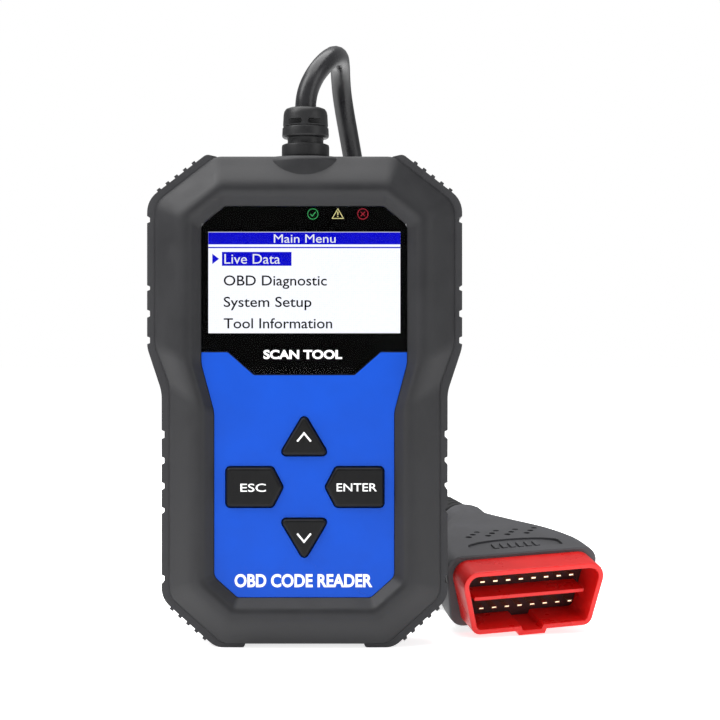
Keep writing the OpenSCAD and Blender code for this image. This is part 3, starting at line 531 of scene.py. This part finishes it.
def skin(name, rings):
    """Sets a filled circle on the first ring and extrudes it from ring to ring, in mm."""
    bpy.ops.object.select_all(action="DESELECT")
    bpy.ops.mesh.primitive_circle_add(vertices=len(rings[0]), radius=0.01, fill_type="NGON")
    piece = bpy.context.object
    piece.name = piece.data.name = name
    order = list(range(len(rings[0])))
    for i, place in zip(order, rings[0]):
        piece.data.vertices[i].co = Vector(place) * MM
    for ring in rings[1:]:
        was = {tuple(piece.data.vertices[i].co): k for k, i in enumerate(order)}
        bpy.ops.object.mode_set(mode="EDIT")
        bpy.ops.mesh.extrude_region_move()
        bpy.ops.object.mode_set(mode="OBJECT")
        for vertex in piece.data.vertices:
            if vertex.select:
                order[was[tuple(vertex.co)]] = vertex.index
        for i, place in zip(order, ring):
            piece.data.vertices[i].co = Vector(place) * MM
    bpy.ops.object.mode_set(mode="EDIT")
    bpy.ops.mesh.select_all(action="SELECT")
    bpy.ops.mesh.normals_make_consistent(inside=False)
    bpy.ops.object.mode_set(mode="OBJECT")
    return piece


def plate(name, outline, front, back):
    """An outline extruded from its back to its front."""
    return skin(name, [at_y(outline, back), at_y(outline, front)])


trial = plate("trial", face_ring(0), -1, 1)
print("a plate of the case's outline has", len(trial.data.polygons), "faces")
bpy.data.objects.remove(trial)

# %% [markdown]
# Pieces are finished with modifiers, applied at once: Boolean for openings, Bevel for eased
# edges. Last, a piece gets smooth shading up to an angle, and weighted normals, which keep
# its large flat faces looking flat next to narrow bevels. Then it gets its material and its
# body, and the CAD pieces that it takes the place of are hidden.

# %% Cutting, easing and finishing
def apply(piece, kind, **settings):
    """Adds a modifier, sets it and applies it."""
    only(piece)
    bpy.ops.object.modifier_add(type=kind)
    for key, value in settings.items():
        setattr(piece.modifiers[-1], key, value)
    bpy.ops.object.modifier_apply(modifier=piece.modifiers[-1].name)
    return piece


def ease(piece, width, segments=3, angle=32):
    """Rounds the sharp edges by that width in mm."""
    return apply(piece, "BEVEL", width=width * MM, segments=segments, limit_method="ANGLE",
                 angle_limit=math.radians(angle))


def cut(piece, tool, operation="DIFFERENCE"):
    """Takes a tool's shape away from a piece, or keeps or adds it, and removes the tool."""
    apply(piece, "BOOLEAN", object=tool, operation=operation, solver="EXACT")
    bpy.data.objects.remove(tool)
    return piece


def ease_rim(piece, limit, width, segments):
    """Rounds the edges round the faces that lie in front of that depth."""
    only(piece)
    bpy.ops.object.mode_set(mode="EDIT")
    bpy.ops.mesh.select_all(action="DESELECT")
    bpy.ops.object.mode_set(mode="OBJECT")
    for face in piece.data.polygons:
        face.select = face.center.y < limit * MM
    bpy.ops.object.mode_set(mode="EDIT")
    bpy.ops.mesh.bevel(offset=width * MM, segments=segments, profile=0.5)
    bpy.ops.object.mode_set(mode="OBJECT")


def joined(pieces):
    """Makes several pieces one."""
    bpy.ops.object.select_all(action="DESELECT")
    for piece in pieces:
        piece.select_set(True)
    bpy.context.view_layer.objects.active = pieces[0]
    bpy.ops.object.join()
    return bpy.context.object


def settle(piece, material, slot, *nodes, body="housing", angle=32):
    """Smooths a finished piece, gives it its material and body, hides the CAD pieces it stands for
    and prints its size.
    """
    only(piece)
    bpy.ops.object.shade_smooth_by_angle(angle=math.radians(angle))
    apply(piece, "WEIGHTED_NORMAL", keep_sharp=True)
    paint(piece, material)
    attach(piece, body)
    if nodes:
        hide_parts(*nodes)
    print(f"{piece.name}: {len(piece.data.polygons)} faces,",
          "x".join(f"{d / MM:.1f}" for d in piece.dimensions), "mm")
    return piece


print("shaping tools ready")

# %% [markdown]
# The front cover is a thin moulded shell. From its parting line at the middle of the case it
# goes straight forward under the grips, curves over a broad shoulder to a ridge, and falls
# steeply to the sunk face. One skin does it all: it starts inside, comes round the open edge
# and ends as the plate behind the face panel. The bed is then cut for keys, display and lamps.

# %% Front cover
KEYS = {"key_up": ((0, 59.5), [(-7, -5.2), (7, -5.2), (0, 6.6)]),
        "key_down": ((0, 31.5), [(7, 5.2), (-7, 5.2), (0, -6.6)]),
        "key_esc": ((-14, 45.5), [(-7.8, -5.6), (5.2, -5.6), (8.1, 0), (5.2, 5.6), (-7.8, 5.6)]),
        "key_enter": ((14, 45.5), [(-5.2, -5.6), (8.2, -5.6), (8.2, 5.6), (-5.2, 5.6), (-8.1, 0)])}
LAMPS = [(2.4, 121.9), (9.4, 121.9), (16.4, 121.9)]


def key_shape(name, gap, steps=5):
    """A key's outline in its place, grown by gap."""
    (x, z), points = KEYS[name]
    outline = rounded(grown(points, gap), [1.1 + gap] * len(points), steps)
    return [(x + a, z + b) for a, b in outline]


def lamp_shape(at, r):
    """A round outline about a lamp."""
    return [(x, z) for x, z, _ in round_ring(r, 0, 24, at)]


def rectangle(x0, x1, z0, z1, r=0.0):
    """A rectangular outline, with rounded corners if r is given."""
    points = [(x0, z0), (x1, z0), (x1, z1), (x0, z1)]
    return rounded(points, [r] * 4, 4) if r else points


shoulder = through([(0, -7.5, 0), (0.02, -8.2, 0), (0.2, -10.1, 0), (0.42, -12.4, 0),
                    (0.56, -13.55, 0), (0.68, -14, 0), (0.78, -13.7, 0), (0.86, -12.9, 0),
                    (1, -11.2, 0)], 3)
cover = skin("front_shell",
             [at_y(case_inset(5.2), -8), at_y(case_inset(5.2), -6.5), at_y(case_inset(2.2), -6.5),
              at_y(case_inset(2.2), 0), at_y(face_ring(0), 0)]
             + [at_y(face_ring(p.x), p.y) for p in shoulder] + [at_y(face_ring(1), -10)])
for name in KEYS:
    cut(cover, plate("tool", key_shape(name, 0.25), -12, -6))
cut(cover, plate("tool", rectangle(-28.65, 28.65, 86.25, 119.15), -12, -6))
for at in LAMPS:
    cut(cover, plate("tool", lamp_shape(at, 1.45), -12, -6))
BOSS = [(12.6, 130.8), (13.2, 131.6), (13.7, 132.9), (13.9, 134.5), (13.9, 136.8), (13.7, 137.5),
        (13.2, 138), (12.5, 138.3)]
boss = skin("boss", [round_ring(r, z, 64, (0, 1.6)) for r, z in BOSS])
cut(boss, plate("tool", rectangle(-20, 20, 120, 150), 0, 20))
cut(cover, boss, "UNION")
cut(cover, skin("tool", [round_ring(5.6, 128, 48), round_ring(5.6, 145, 48)]))
settle(cover, case_abs, "case_abs", "front_cover")

# %% [markdown]
# The rear cover is the same kind of shell, with a rounded edge and a flat back. The back has a
# shallow pocket for a blank label, two columns of finger grooves and six screw recesses.

# %% Rear cover
back = skin("rear_shell",
            [at_y(case_inset(4), 12), at_y(case_inset(4), 9), at_y(case_inset(2.2), 9),
             at_y(case_inset(2.2), 0), at_y(case_inset(0), 0), at_y(case_inset(0), 9),
             at_y(case_inset(0.3), 10.1), at_y(case_inset(0.7), 11.2), at_y(case_inset(1.3), 12.2),
             at_y(case_inset(2.1), 13.1), at_y(case_inset(3.2), 13.7), at_y(case_inset(4.5), 14)])
ease(back, 0.25, 2, 25)
cut(back, plate("tool", rectangle(-23, 23, 35, 69, 0.8), 13.6, 15))
for side in (-11, 11):
    for row in range(-2, 3):
        z = 103 + 4 * row
        cut(back, plate("tool", rectangle(side - 8, side + 8, z - 0.7, z + 0.7, 0.6), 13.4, 15))
POSTS = [(side * x, z) for side in (-1, 1) for x, z in ((36.6, 119), (36.6, 89), (32.3, 22))]
for at in POSTS:
    cut(back, plate("tool", lamp_shape(at, 2.5), 9, 15))
half_boss = skin("boss", [round_ring(r, z, 64, (0, 1.6)) for r, z in BOSS])
cut(half_boss, plate("tool", rectangle(-20, 20, 120, 150), -20, 0))
cut(half_boss, plate("tool", rectangle(-20, 20, 120, 150), 9, 20))
cut(back, half_boss, "UNION")
cut(back, skin("tool", [round_ring(5.6, 128, 48), round_ring(5.6, 145, 48)]))
settle(back, case_abs, "case_abs", "rear_cover")

# %% [markdown]
# The side grips are rubber blocks that wrap the case's edge. Wide grooves part them into
# blocks, and small ridges on the slanted corners stop wet hands slipping. The outline is
# extruded, the ridges are added as small bars, and the grooves and the case are cut away.

# %% Side grips
GRIP = [(16.7, 1.1), (17.1, 0), (25.1, 0), (40.3, 13.7), (40.3, 72), (44.4, 84.5), (44.4, 126.1),
        (27.7, 139), (24.7, 138.3)]
GRIP_R = [0.2, 0.8, 6, 6.5, 12, 9, 7, 2, 0.3]
GROOVES = [(44.4, a, b) for a, b in ((119.4, 121.7), (100.3, 102.2), (92.8, 95.3), (85.3, 87.8))]
GROOVES += [(40.3, a, b) for a, b in ((58.6, 61.4), (51.4, 53.9), (44.2, 46.7), (37.5, 39.7),
                                     (17.8, 20.6))]


blocks = plate("rubber_grip_right", rounded(GRIP + [(18.4, 69.5), (14.4, 5.1)], GRIP_R + [1, 1], 6),
               -7.5, 7.5)
for low, high in (((25.1, 0), (40.3, 13.7)), ((44.4, 126.1), (27.7, 139))):
    along = (Vector(high) - Vector(low)).normalized()
    out = Vector((abs(along.y), along.y * -along.x / abs(along.y)))
    for k in range(-2, 3):
        at = (Vector(low) + Vector(high)) / 2 + along * k * 3.1
        bar = [at - along * 0.55 - out, at - along * 0.55 + out * 0.6,
               at + along * 0.55 + out * 0.6, at + along * 0.55 - out]
        cut(blocks, plate("tool", [tuple(p) for p in bar], -7.5, 7.5), "UNION")
for x, low, high in GROOVES:
    cut(blocks, plate("tool", [(x - 0.8, low + 0.5), (x + 3, low - 1.2), (x + 3, high + 1.2),
                               (x - 0.8, high - 0.5)], -9, 9))
cut(blocks, plate("tool", face_ring(0), -9, 9))
ease(blocks, 0.35, 3, 33)
bpy.ops.object.select_all(action="DESELECT")
other = bpy.data.objects.new("rubber_grip_left", blocks.data.copy())
bpy.context.scene.collection.objects.link(other)
other.data.transform(Matrix.Scale(-1, 4, (1, 0, 0)))
other.data.flip_normals()
settle(blocks, grip_rubber, "grip_tpe", "right_grip")
settle(other, grip_rubber, "grip_tpe", "left_grip")

# %% [markdown]
# The face is a thin blue panel below and a clear window above, with a tongue of the window
# reaching down between two slanted shoulders. Both are extruded from the same outline, and
# the window's region is cut out of one and kept in the other, so that they meet in one
# narrow gap.

# %% Blue panel and window
def window_region(gap):
    """Everything above the line where the window meets the panel."""
    return [(-60, 139), (-60, 83.3 + gap), (-21.4, 83.3 + gap), (-14.1, 76.9 + gap),
            (14.1, 76.9 + gap), (21.4, 83.3 + gap), (60, 83.3 + gap), (60, 139)]


face_outline = grown(face_ring(1), -0.15)
panel = plate("blue_face_panel", face_outline, FACE_FRONT, BED)
cut(panel, plate("tool", window_region(-0.15), -12, -9))
for name in KEYS:
    cut(panel, plate("tool", key_shape(name, 0.25), -12, -9))
ease(panel, 0.12, 2, 40)
settle(panel, blue_paint, "blue_abs", "face_panel")
window = plate("display_window", face_outline, FACE_FRONT, WINDOW_BACK)
cut(window, plate("tool", window_region(0.15), -12, -9), "INTERSECT")
ease(window, 0.12, 2, 40)
settle(window, acrylic, "lens_acrylic", "display_lens")

# %% [markdown]
# The keys are hard plastic caps with eased edges. Each has a flange under the face plate, so
# that it can't fall out, and a short plunger that clicks a metal dome on the board. A key
# moves with its own body, so that it can be pressed.

# %% Keys
for name, ((x, z), points) in KEYS.items():
    cap = plate("cap_of_" + name, key_shape(name, 0), KEY_FRONT, -7.9)
    ease_rim(cap, KEY_FRONT + 0.1, 1.0, 5)
    flange = plate("flange", key_shape(name, 0.9), -7.9, -7.1)
    plunger = plate("plunger", lamp_shape((x, z), 1.5), -7.2, -5.75)
    cut(cap, flange, "UNION")
    cut(cap, plunger, "UNION")
    settle(cap, key_coat, "key_plastic", name, body=name + "_body", angle=40)

# %% [markdown]
# The display shows a plain menu: a blue title bar, a row that is picked out and three more.
# On the real one these are picture elements of the liquid crystal. Here each is a very thin
# shape just in front of the white display, because lettering made from type has clean edges
# from close by, which a pattern would not have.

# %% Lettering
def type_mesh(words, weight):
    """Type laid flat, turned into a mesh, at a size of 1."""
    bpy.ops.object.select_all(action="DESELECT")
    bpy.ops.object.text_add(location=(0, 0, 0))
    piece = bpy.context.object
    piece.data.body = words
    piece.data.offset = weight
    piece.data.extrude = 0.5
    piece.data.resolution_u = 4
    bpy.ops.object.convert(target="MESH")
    return bpy.context.object


def lettering(name, words, middle_z, height, width, material, slot, y, left=None, middle=None,
              weight=0.0, body="housing", thick=0.03):
    """Upright lettering in mm: cap height, overall width, and the front of the surface it is on."""
    piece = type_mesh("H", weight)
    capital = max(v.co.y for v in piece.data.vertices)
    bpy.data.objects.remove(piece)
    piece = type_mesh(words, weight)
    piece.name = piece.data.name = name
    xs = [v.co.x for v in piece.data.vertices]
    wide = max(xs) - min(xs)
    start = left if left is not None else middle - width / 2
    for v in piece.data.vertices:
        v.co = Vector((start + (v.co.x - min(xs)) * width / wide, y - (v.co.z + 0.5) * thick,
                       middle_z - height / 2 + v.co.y * height / capital)) * MM
    return settle(piece, material, slot, body=body)


def ribbon(points, wide):
    """The outline of a line of that width through the points."""
    line = [Vector(p) for p in points]
    sides = []
    for i, p in enumerate(line):
        a = (p - line[i - 1]).normalized() if i else (line[1] - p).normalized()
        b = (line[i + 1] - p).normalized() if i < len(line) - 1 else a
        n = Vector((a.y + b.y, -a.x - b.x)).normalized()
        sides.append(n * wide / 2 / max(0.3, n.dot(Vector((a.y, -a.x)))))
    return ([tuple(p + s) for p, s in zip(line, sides)]
            + [tuple(p - s) for p, s in zip(line, sides)][::-1])


print("lettering tools ready")

# %% [markdown]
# The picture is laid on the glass in two steps: the blue fields first, and the white words on
# top of them, 0.03 mm in front. The words in black stand on the glass itself.

# %% Display picture
for node, material in (("lcd_glass", lcd_white), ("lens_mask", mask_ink)):
    paint(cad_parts[node], material)
FIELDS = LCD_FRONT - 0.03
for name, box, material in (("title_bar", (-26.9, 26.9, 113.4, 116.8), lcd_blue),
                            ("title_line", (-26.9, 26.9, 112.35, 112.7), lcd_blue),
                            ("picked_row", (-23.1, -3.6, 107.4, 111.3), lcd_blue)):
    settle(plate("lcd_" + name, rectangle(*box), FIELDS, LCD_FRONT), material, "lcd_glass")
settle(plate("lcd_arrow", [(-25.8, 107.9), (-23.9, 109.35), (-25.8, 110.8)], FIELDS, LCD_FRONT),
       lcd_blue, "lcd_glass")
lettering("lcd_title", "Main Menu", 115.05, 2.35, 17.3, lcd_text_white, "lcd_glass", FIELDS,
          middle=0.1)
lettering("lcd_row_1", "Live Data", 109.35, 2.7, 15.6, lcd_text_white, "lcd_glass", FIELDS,
          left=-22.4)
for row, (words, z, width) in enumerate((("OBD Diagnostic", 103.3, 28.9),
                                         ("System Setup", 97.3, 24.6),
                                         ("Tool Information", 91.3, 30.4))):
    lettering(f"lcd_row_{row + 2}", words, z, 2.8, width, lcd_black, "lcd_glass", LCD_FRONT,
              left=-22.6, weight=0.008)

# %% [markdown]
# Three lamp signs are printed in translucent ink behind the window, over the lamps: a tick, a
# warning triangle and a cross. Each is a fine line of about 0.2 mm, so each is made as a
# narrow ribbon, and the rings are a shape with a smaller one cut out of it.

# %% Lamp signs
INK = -10.21


def ring_sign(name, outer, inner, marks, material):
    """A closed outline with a smaller one cut out of it, and the marks inside it."""
    sign = cut(plate(name, outer, INK - 0.04, INK), plate("tool", inner, INK - 1, INK + 1))
    pieces = [sign] + [plate("mark", m, INK - 0.04, INK) for m in marks]
    return settle(joined(pieces), material, "lens_acrylic")


(ok_x, z), (warn_x, _), (bad_x, _) = LAMPS
dots = [plate("dot", lamp_shape(at, 1.3), -10.2, -10.02) for at in LAMPS]
settle(joined(dots), mask_ink, "mask_ink")
ring_sign("sign_tick", lamp_shape((ok_x, z), 1.55), lamp_shape((ok_x, z), 1.36),
          [ribbon([(ok_x - 0.7, z), (ok_x - 0.15, z - 0.6), (ok_x + 0.75, z + 0.55)], 0.22)],
          icon_green)
triangle = [(warn_x - 1.75, z - 1.35), (warn_x + 1.75, z - 1.35), (warn_x, z + 1.65)]
ring_sign("sign_warning", triangle, grown(triangle, -0.2),
          [rectangle(warn_x - 0.15, warn_x + 0.15, z - 0.3, z + 0.65),
           rectangle(warn_x - 0.15, warn_x + 0.15, z - 0.85, z - 0.55)], icon_amber)
ring_sign("sign_cross", lamp_shape((bad_x, z), 1.55), lamp_shape((bad_x, z), 1.36),
          [ribbon([(bad_x - 0.6, z - 0.6), (bad_x + 0.6, z + 0.6)], 0.2),
           ribbon([(bad_x - 0.6, z + 0.6), (bad_x + 0.6, z - 0.6)], 0.2)], icon_red)

# %% [markdown]
# White marks are screen printed on the keys and the panel, and on the window, in a white ink
# with a small painted glow. A printed layer is about 0.02 mm thick; here it stands 0.03 mm
# proud, so that it never flickers with the surface under it.

# %% Printed marks
lettering("print_esc", "ESC", 45.4, 2.2, 7.1, white_ink_painted_glow, "key_plastic", KEY_FRONT,
          middle=-14.2, weight=0.006, body="key_esc_body")
lettering("print_enter", "ENTER", 45.5, 2.2, 11.2, white_ink_painted_glow, "key_plastic", KEY_FRONT,
          middle=14.7, weight=0.006, body="key_enter_body")
for name, z, rise in (("key_up", 58.3, 2.3), ("key_down", 32.6, -2.3)):
    arrow = plate("print_" + name, ribbon([(-1.9, z), (0, z + rise), (1.9, z)], 0.5),
                  KEY_FRONT - 0.03, KEY_FRONT)
    settle(arrow, white_ink_painted_glow, "key_plastic", body=name + "_body")
lettering("print_panel", "OBD CODE READER", 19.4, 3.5, 38.5, white_ink_painted_glow, "blue_abs", FACE_FRONT,
          middle=-0.2, weight=0.03)
lettering("print_window", "SCAN TOOL", 82.6, 2.4, 22, window_ink_painted_glow, "lens_acrylic", FACE_FRONT,
          middle=-0.4, weight=0.035)
print("marks printed")

# %% [markdown]
# Where the lead leaves the case, a moulded bend relief keeps it from kinking. It is turned
# round the lead's line: a collar, a neck and a drum with two slots front and back that let it
# flex. It is skinned from circles, which is the same as turning its profile on a lathe.

# %% Bend relief on the case
relief = skin("bend_relief", [round_ring(r, 138.3 + z, 56) for r, z in (
    (3, -3.9), (8.1, -3.9), (8.1, -2.3), (5.5, -2.3), (5.5, 0), (6.3, 0.1), (6.7, 0.5), (6.8, 1.1),
    (6.8, 3.6), (6.65, 4.1), (6.2, 4.3), (5.2, 4.35), (5.1, 5.2), (5.2, 6.1), (6.3, 6.15),
    (6.6, 6.4), (6.7, 6.9), (6.6, 8.9), (6.4, 9.15), (6.2, 9.3), (6.4, 9.45), (6.45, 9.7),
    (6.3, 12.7), (6.1, 13.7), (5.6, 14.4), (4.8, 14.7), (3, 14.7))])
for x in (-3.3, 3.3):
    for y0, y1 in ((-8, -4.4), (4.4, 8)):
        cut(relief, plate("tool", rectangle(x - 2.4, x + 2.4, 148.0, 149.5, 0.6), y0, y1))
settle(relief, boot_pvc, "boot_pvc", "cable_boot", angle=40)
strap = skin("coil_strap", [[(x, y, z) for y, z in rounded(
    [(111.4 + d, d), (124.6 - d, d), (124.6 - d, 17.3 - d), (111.4 + d, 17.3 - d)], [3] * 4, 6)]
    for x, d in ((12.5, 0.25), (12.8, 0), (23.2, 0), (23.5, 0.25))])
inside = rounded([(112.2, 0.6), (123.8, 0.6), (123.8, 16.7), (112.2, 16.7)], [2.6] * 4, 6)
hole = skin("tool", [[(x, y, z) for y, z in inside] for x in (10, 26)])
cut(strap, hole)
settle(strap, strap_nylon, "tie_nylon", "coil_tie")

# %% [markdown]
# The diagnostic plug is modelled in its own frame, with its mouth at y = 0 and its cable end
# towards +y, and then set in its place in one step. The red shroud is one skin again: from its
# hidden back over the outside to the rim, and back down the inside. A key on its underside
# makes it fit one way round, and a shelf parts its two rows of eight pins.

# %% Plug shroud
def in_place(piece):
    """Moves a piece from the plug's own frame to its place."""
    piece.data.transform(plug_place)
    return piece


MOUTH = [(-18.4, -9.8), (-4.63, -9.8), (-4.1, -11.2), (4.1, -11.2), (4.63, -9.8), (18.4, -9.8),
         (23, 9.8), (-23, 9.8)]
MOUTH_R = [3, 0.25, 0.3, 0.3, 0.25, 3, 4.5, 4.5]


def mouth(d):
    """The mouth's outline grown by d."""
    return rounded(grown(MOUTH, d), [max(0.2, r + (d if r > 1 else 0)) for r in MOUTH_R], 6)


shroud = skin("plug_mouth_shroud", [at_y(mouth(d), y) for d, y in (
    (-1.3, 14), (-1.3, 10), (0, 10), (0, 9.7), (0, 0.5), (-0.15, 0.15), (-0.45, 0), (-1.25, 0),
    (-1.55, 0.15), (-1.7, 0.5), (-1.7, 6), (-1.7, 12))])
shelf = ease(plate("shelf", rectangle(-17.2, 17.2, -0.6, 0.6), 3.5, 13), 0.25, 2)
shroud = joined([shroud, shelf])
settle(in_place(shroud), shroud_nylon, "shroud_red", "plug_shroud")
# A thin near-black red plate at the back of the mouth: painted shade deep inside the plug
mouth_shade_plate = plate("plug_mouth_painted_shade", mouth(-1.8), 11.5, 12.1)
settle(in_place(mouth_shade_plate), painted_shade_nylon, "connector_nylon")

# %% [markdown]
# The grey grip is PVC moulded over the insert. It narrows from the mouth to a round neck in a
# long S, with slanting rows of dimples and a shallow arched pocket on top for the thumb. Its rings
# come from a smooth run through a few widths and heights.

# %% Plug grip
def grip_ring(y, w, h, r):
    """One ring of the grip, a rounded box that is a little narrower below."""
    return at_y(rounded([(-0.9 * w, -h), (0.9 * w, -h), (w, h), (-w, h)], [r] * 4, 6), y)


widths = through([(66, 7.2, 7.2), (63.2, 8.2, 7.7), (60, 8.3, 7.7), (56, 9.6, 7.6),
                  (46, 14.52, 8.36), (34, 19.84, 9.57), (22, 23.4, 10.67), (13, 24.2, 11),
                  (10.4, 24.2, 11)], 3)
grip_body = skin("plug_overmould", [grip_ring(66, 6.6, 6.6, 5.8)]
                 + [grip_ring(y, w, h, 4.6 + 1.8 * min(1, max(0, (y - 34) / 22)))
                    for y, w, h in widths]
                 + [grip_ring(10, 23.8, 10.6, 4.6)])
dimples = []
for start in (-11, -4.7, 1.6, 7.9):
    for k in range(3):
        dimples.append(skin("dimple", [round_ring(r, z, 16, (start + 2.2 * k, 27.6 + 2.5 * k))
                                       for r, z in ((0.5, 8.9), (0.95, 9.4), (1.15, 13))]))
cut(grip_body, joined(dimples))
arch = [(-14.5, 14.2), (14.5, 14.2), (14.5, 18.2)] + [
    (14.5 * math.cos(math.radians(a)), 18.2 + 4.6 * math.sin(math.radians(a)))
    for a in range(15, 166, 15)] + [(-14.5, 18.2)]
pocket = skin("tool", [[(x, y, z) for x, y in rounded(arch, [0.5] * len(arch), 2)]
                       for z in (10.1, 13)])
cut(grip_body, pocket)
bars = [ease(plate("bar", rectangle(-6.8 + 2.6 * k, -5.4 + 2.6 * k, 10, 10.75, 0.2), 15.6, 19.6),
             0.15, 2) for k in range(6)]
mouth_hole = plate("tool", mouth(-1.35), 9, 14)
cut(grip_body, mouth_hole)
grip_body = joined([grip_body] + bars)
settle(in_place(grip_body), plug_pvc, "plug_pvc", "plug_grip", angle=38)

# %% [markdown]
# Behind the grip, a ribbed tail bends with the lead. Its ribs get smaller towards the end, so
# that it bends more and more easily. The pins are thin brass blades with bevelled tips, made
# once and copied, each copy with its own mesh.

# %% Ribbed tail and pins
def round_section(r, y, count=40):
    """An upright circle round the plug's line."""
    return [(x, y, z) for x, z, _ in round_ring(r, 0, count)]


profile = [(5.9, 66)]
for k in range(5):
    r, y = 6.4 - 0.45 * k, 66 + 3.6 * k
    profile += [(r - 0.3, y), (r, y + 0.3), (r, y + 1.9), (r - 0.3, y + 2.2), (r - 1.2, y + 2.2),
                (r - 1.2, y + 3.6)]
tail = skin("plug_ribbed_tail", [round_section(r, y) for r, y in profile + [(3.2, 86)]])
settle(in_place(tail), boot_pvc, "boot_pvc", "plug_boot", angle=40)
blade = plate("pin", rectangle(-0.75, 0.75, -0.35, 0.35), 6, 20)
ease_rim(blade, 6.1, 0.22, 2)
pins = []
for column in range(8):
    for row in (-4.15, 4.15):
        pin = bpy.data.objects.new("pin", blade.data.copy())
        bpy.context.scene.collection.objects.link(pin)
        pin.data.transform(Matrix.Translation(Vector(((column - 3.5) * 4, 0, row)) * MM))
        pins.append(pin)
bpy.data.objects.remove(blade)
pins = joined(pins)
pins.name = pins.data.name = "plug_contact_pins"
settle(in_place(pins), gold_brass, "pin_brass", "plug_pins")

# %% [markdown]
# The parts inside the case keep their CAD shapes, which are right as they are. They only get
# their real materials, by assigning to the slot of each mesh, except the plug's pin carrier,
# which is made black as painted shade deep in its mouth.

# %% Materials of the carried-over parts
for material, names in ((white_abs, ["lcd_frame"]), (frosted, ["backlight", "led_light_guide"]),
                        (polyimide, ["lcd_flex"]), (silicone, ["keypad_mat"]),
                        (stainless, ["snap_domes", "crystal"]), (board_green, ["main_board"]),
                        # The pin carrier is black here as painted shade deep in the plug's mouth
                        (chip_epoxy, ["main_chip", "support_chips", "buzzer", "pin_carrier"]),
                        (aluminium, ["capacitors"]), (lamp_green, ["led_ok"]),
                        (lamp_amber, ["led_warning"]), (lamp_red, ["led_fault"]),
                        (nylon_cream, ["header_socket", "harness_plug"]),
                        (wire_pvc, ["harness_wires"]),
                        (zinc_steel, ["board_screws", "case_screws"]),
                        (label_film, ["rear_label"]), (lead_pvc, ["cable_tail", "plug_tail"])):
    for name in names:
        paint(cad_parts[name], material)
print("materials in all:", len(bpy.data.materials))
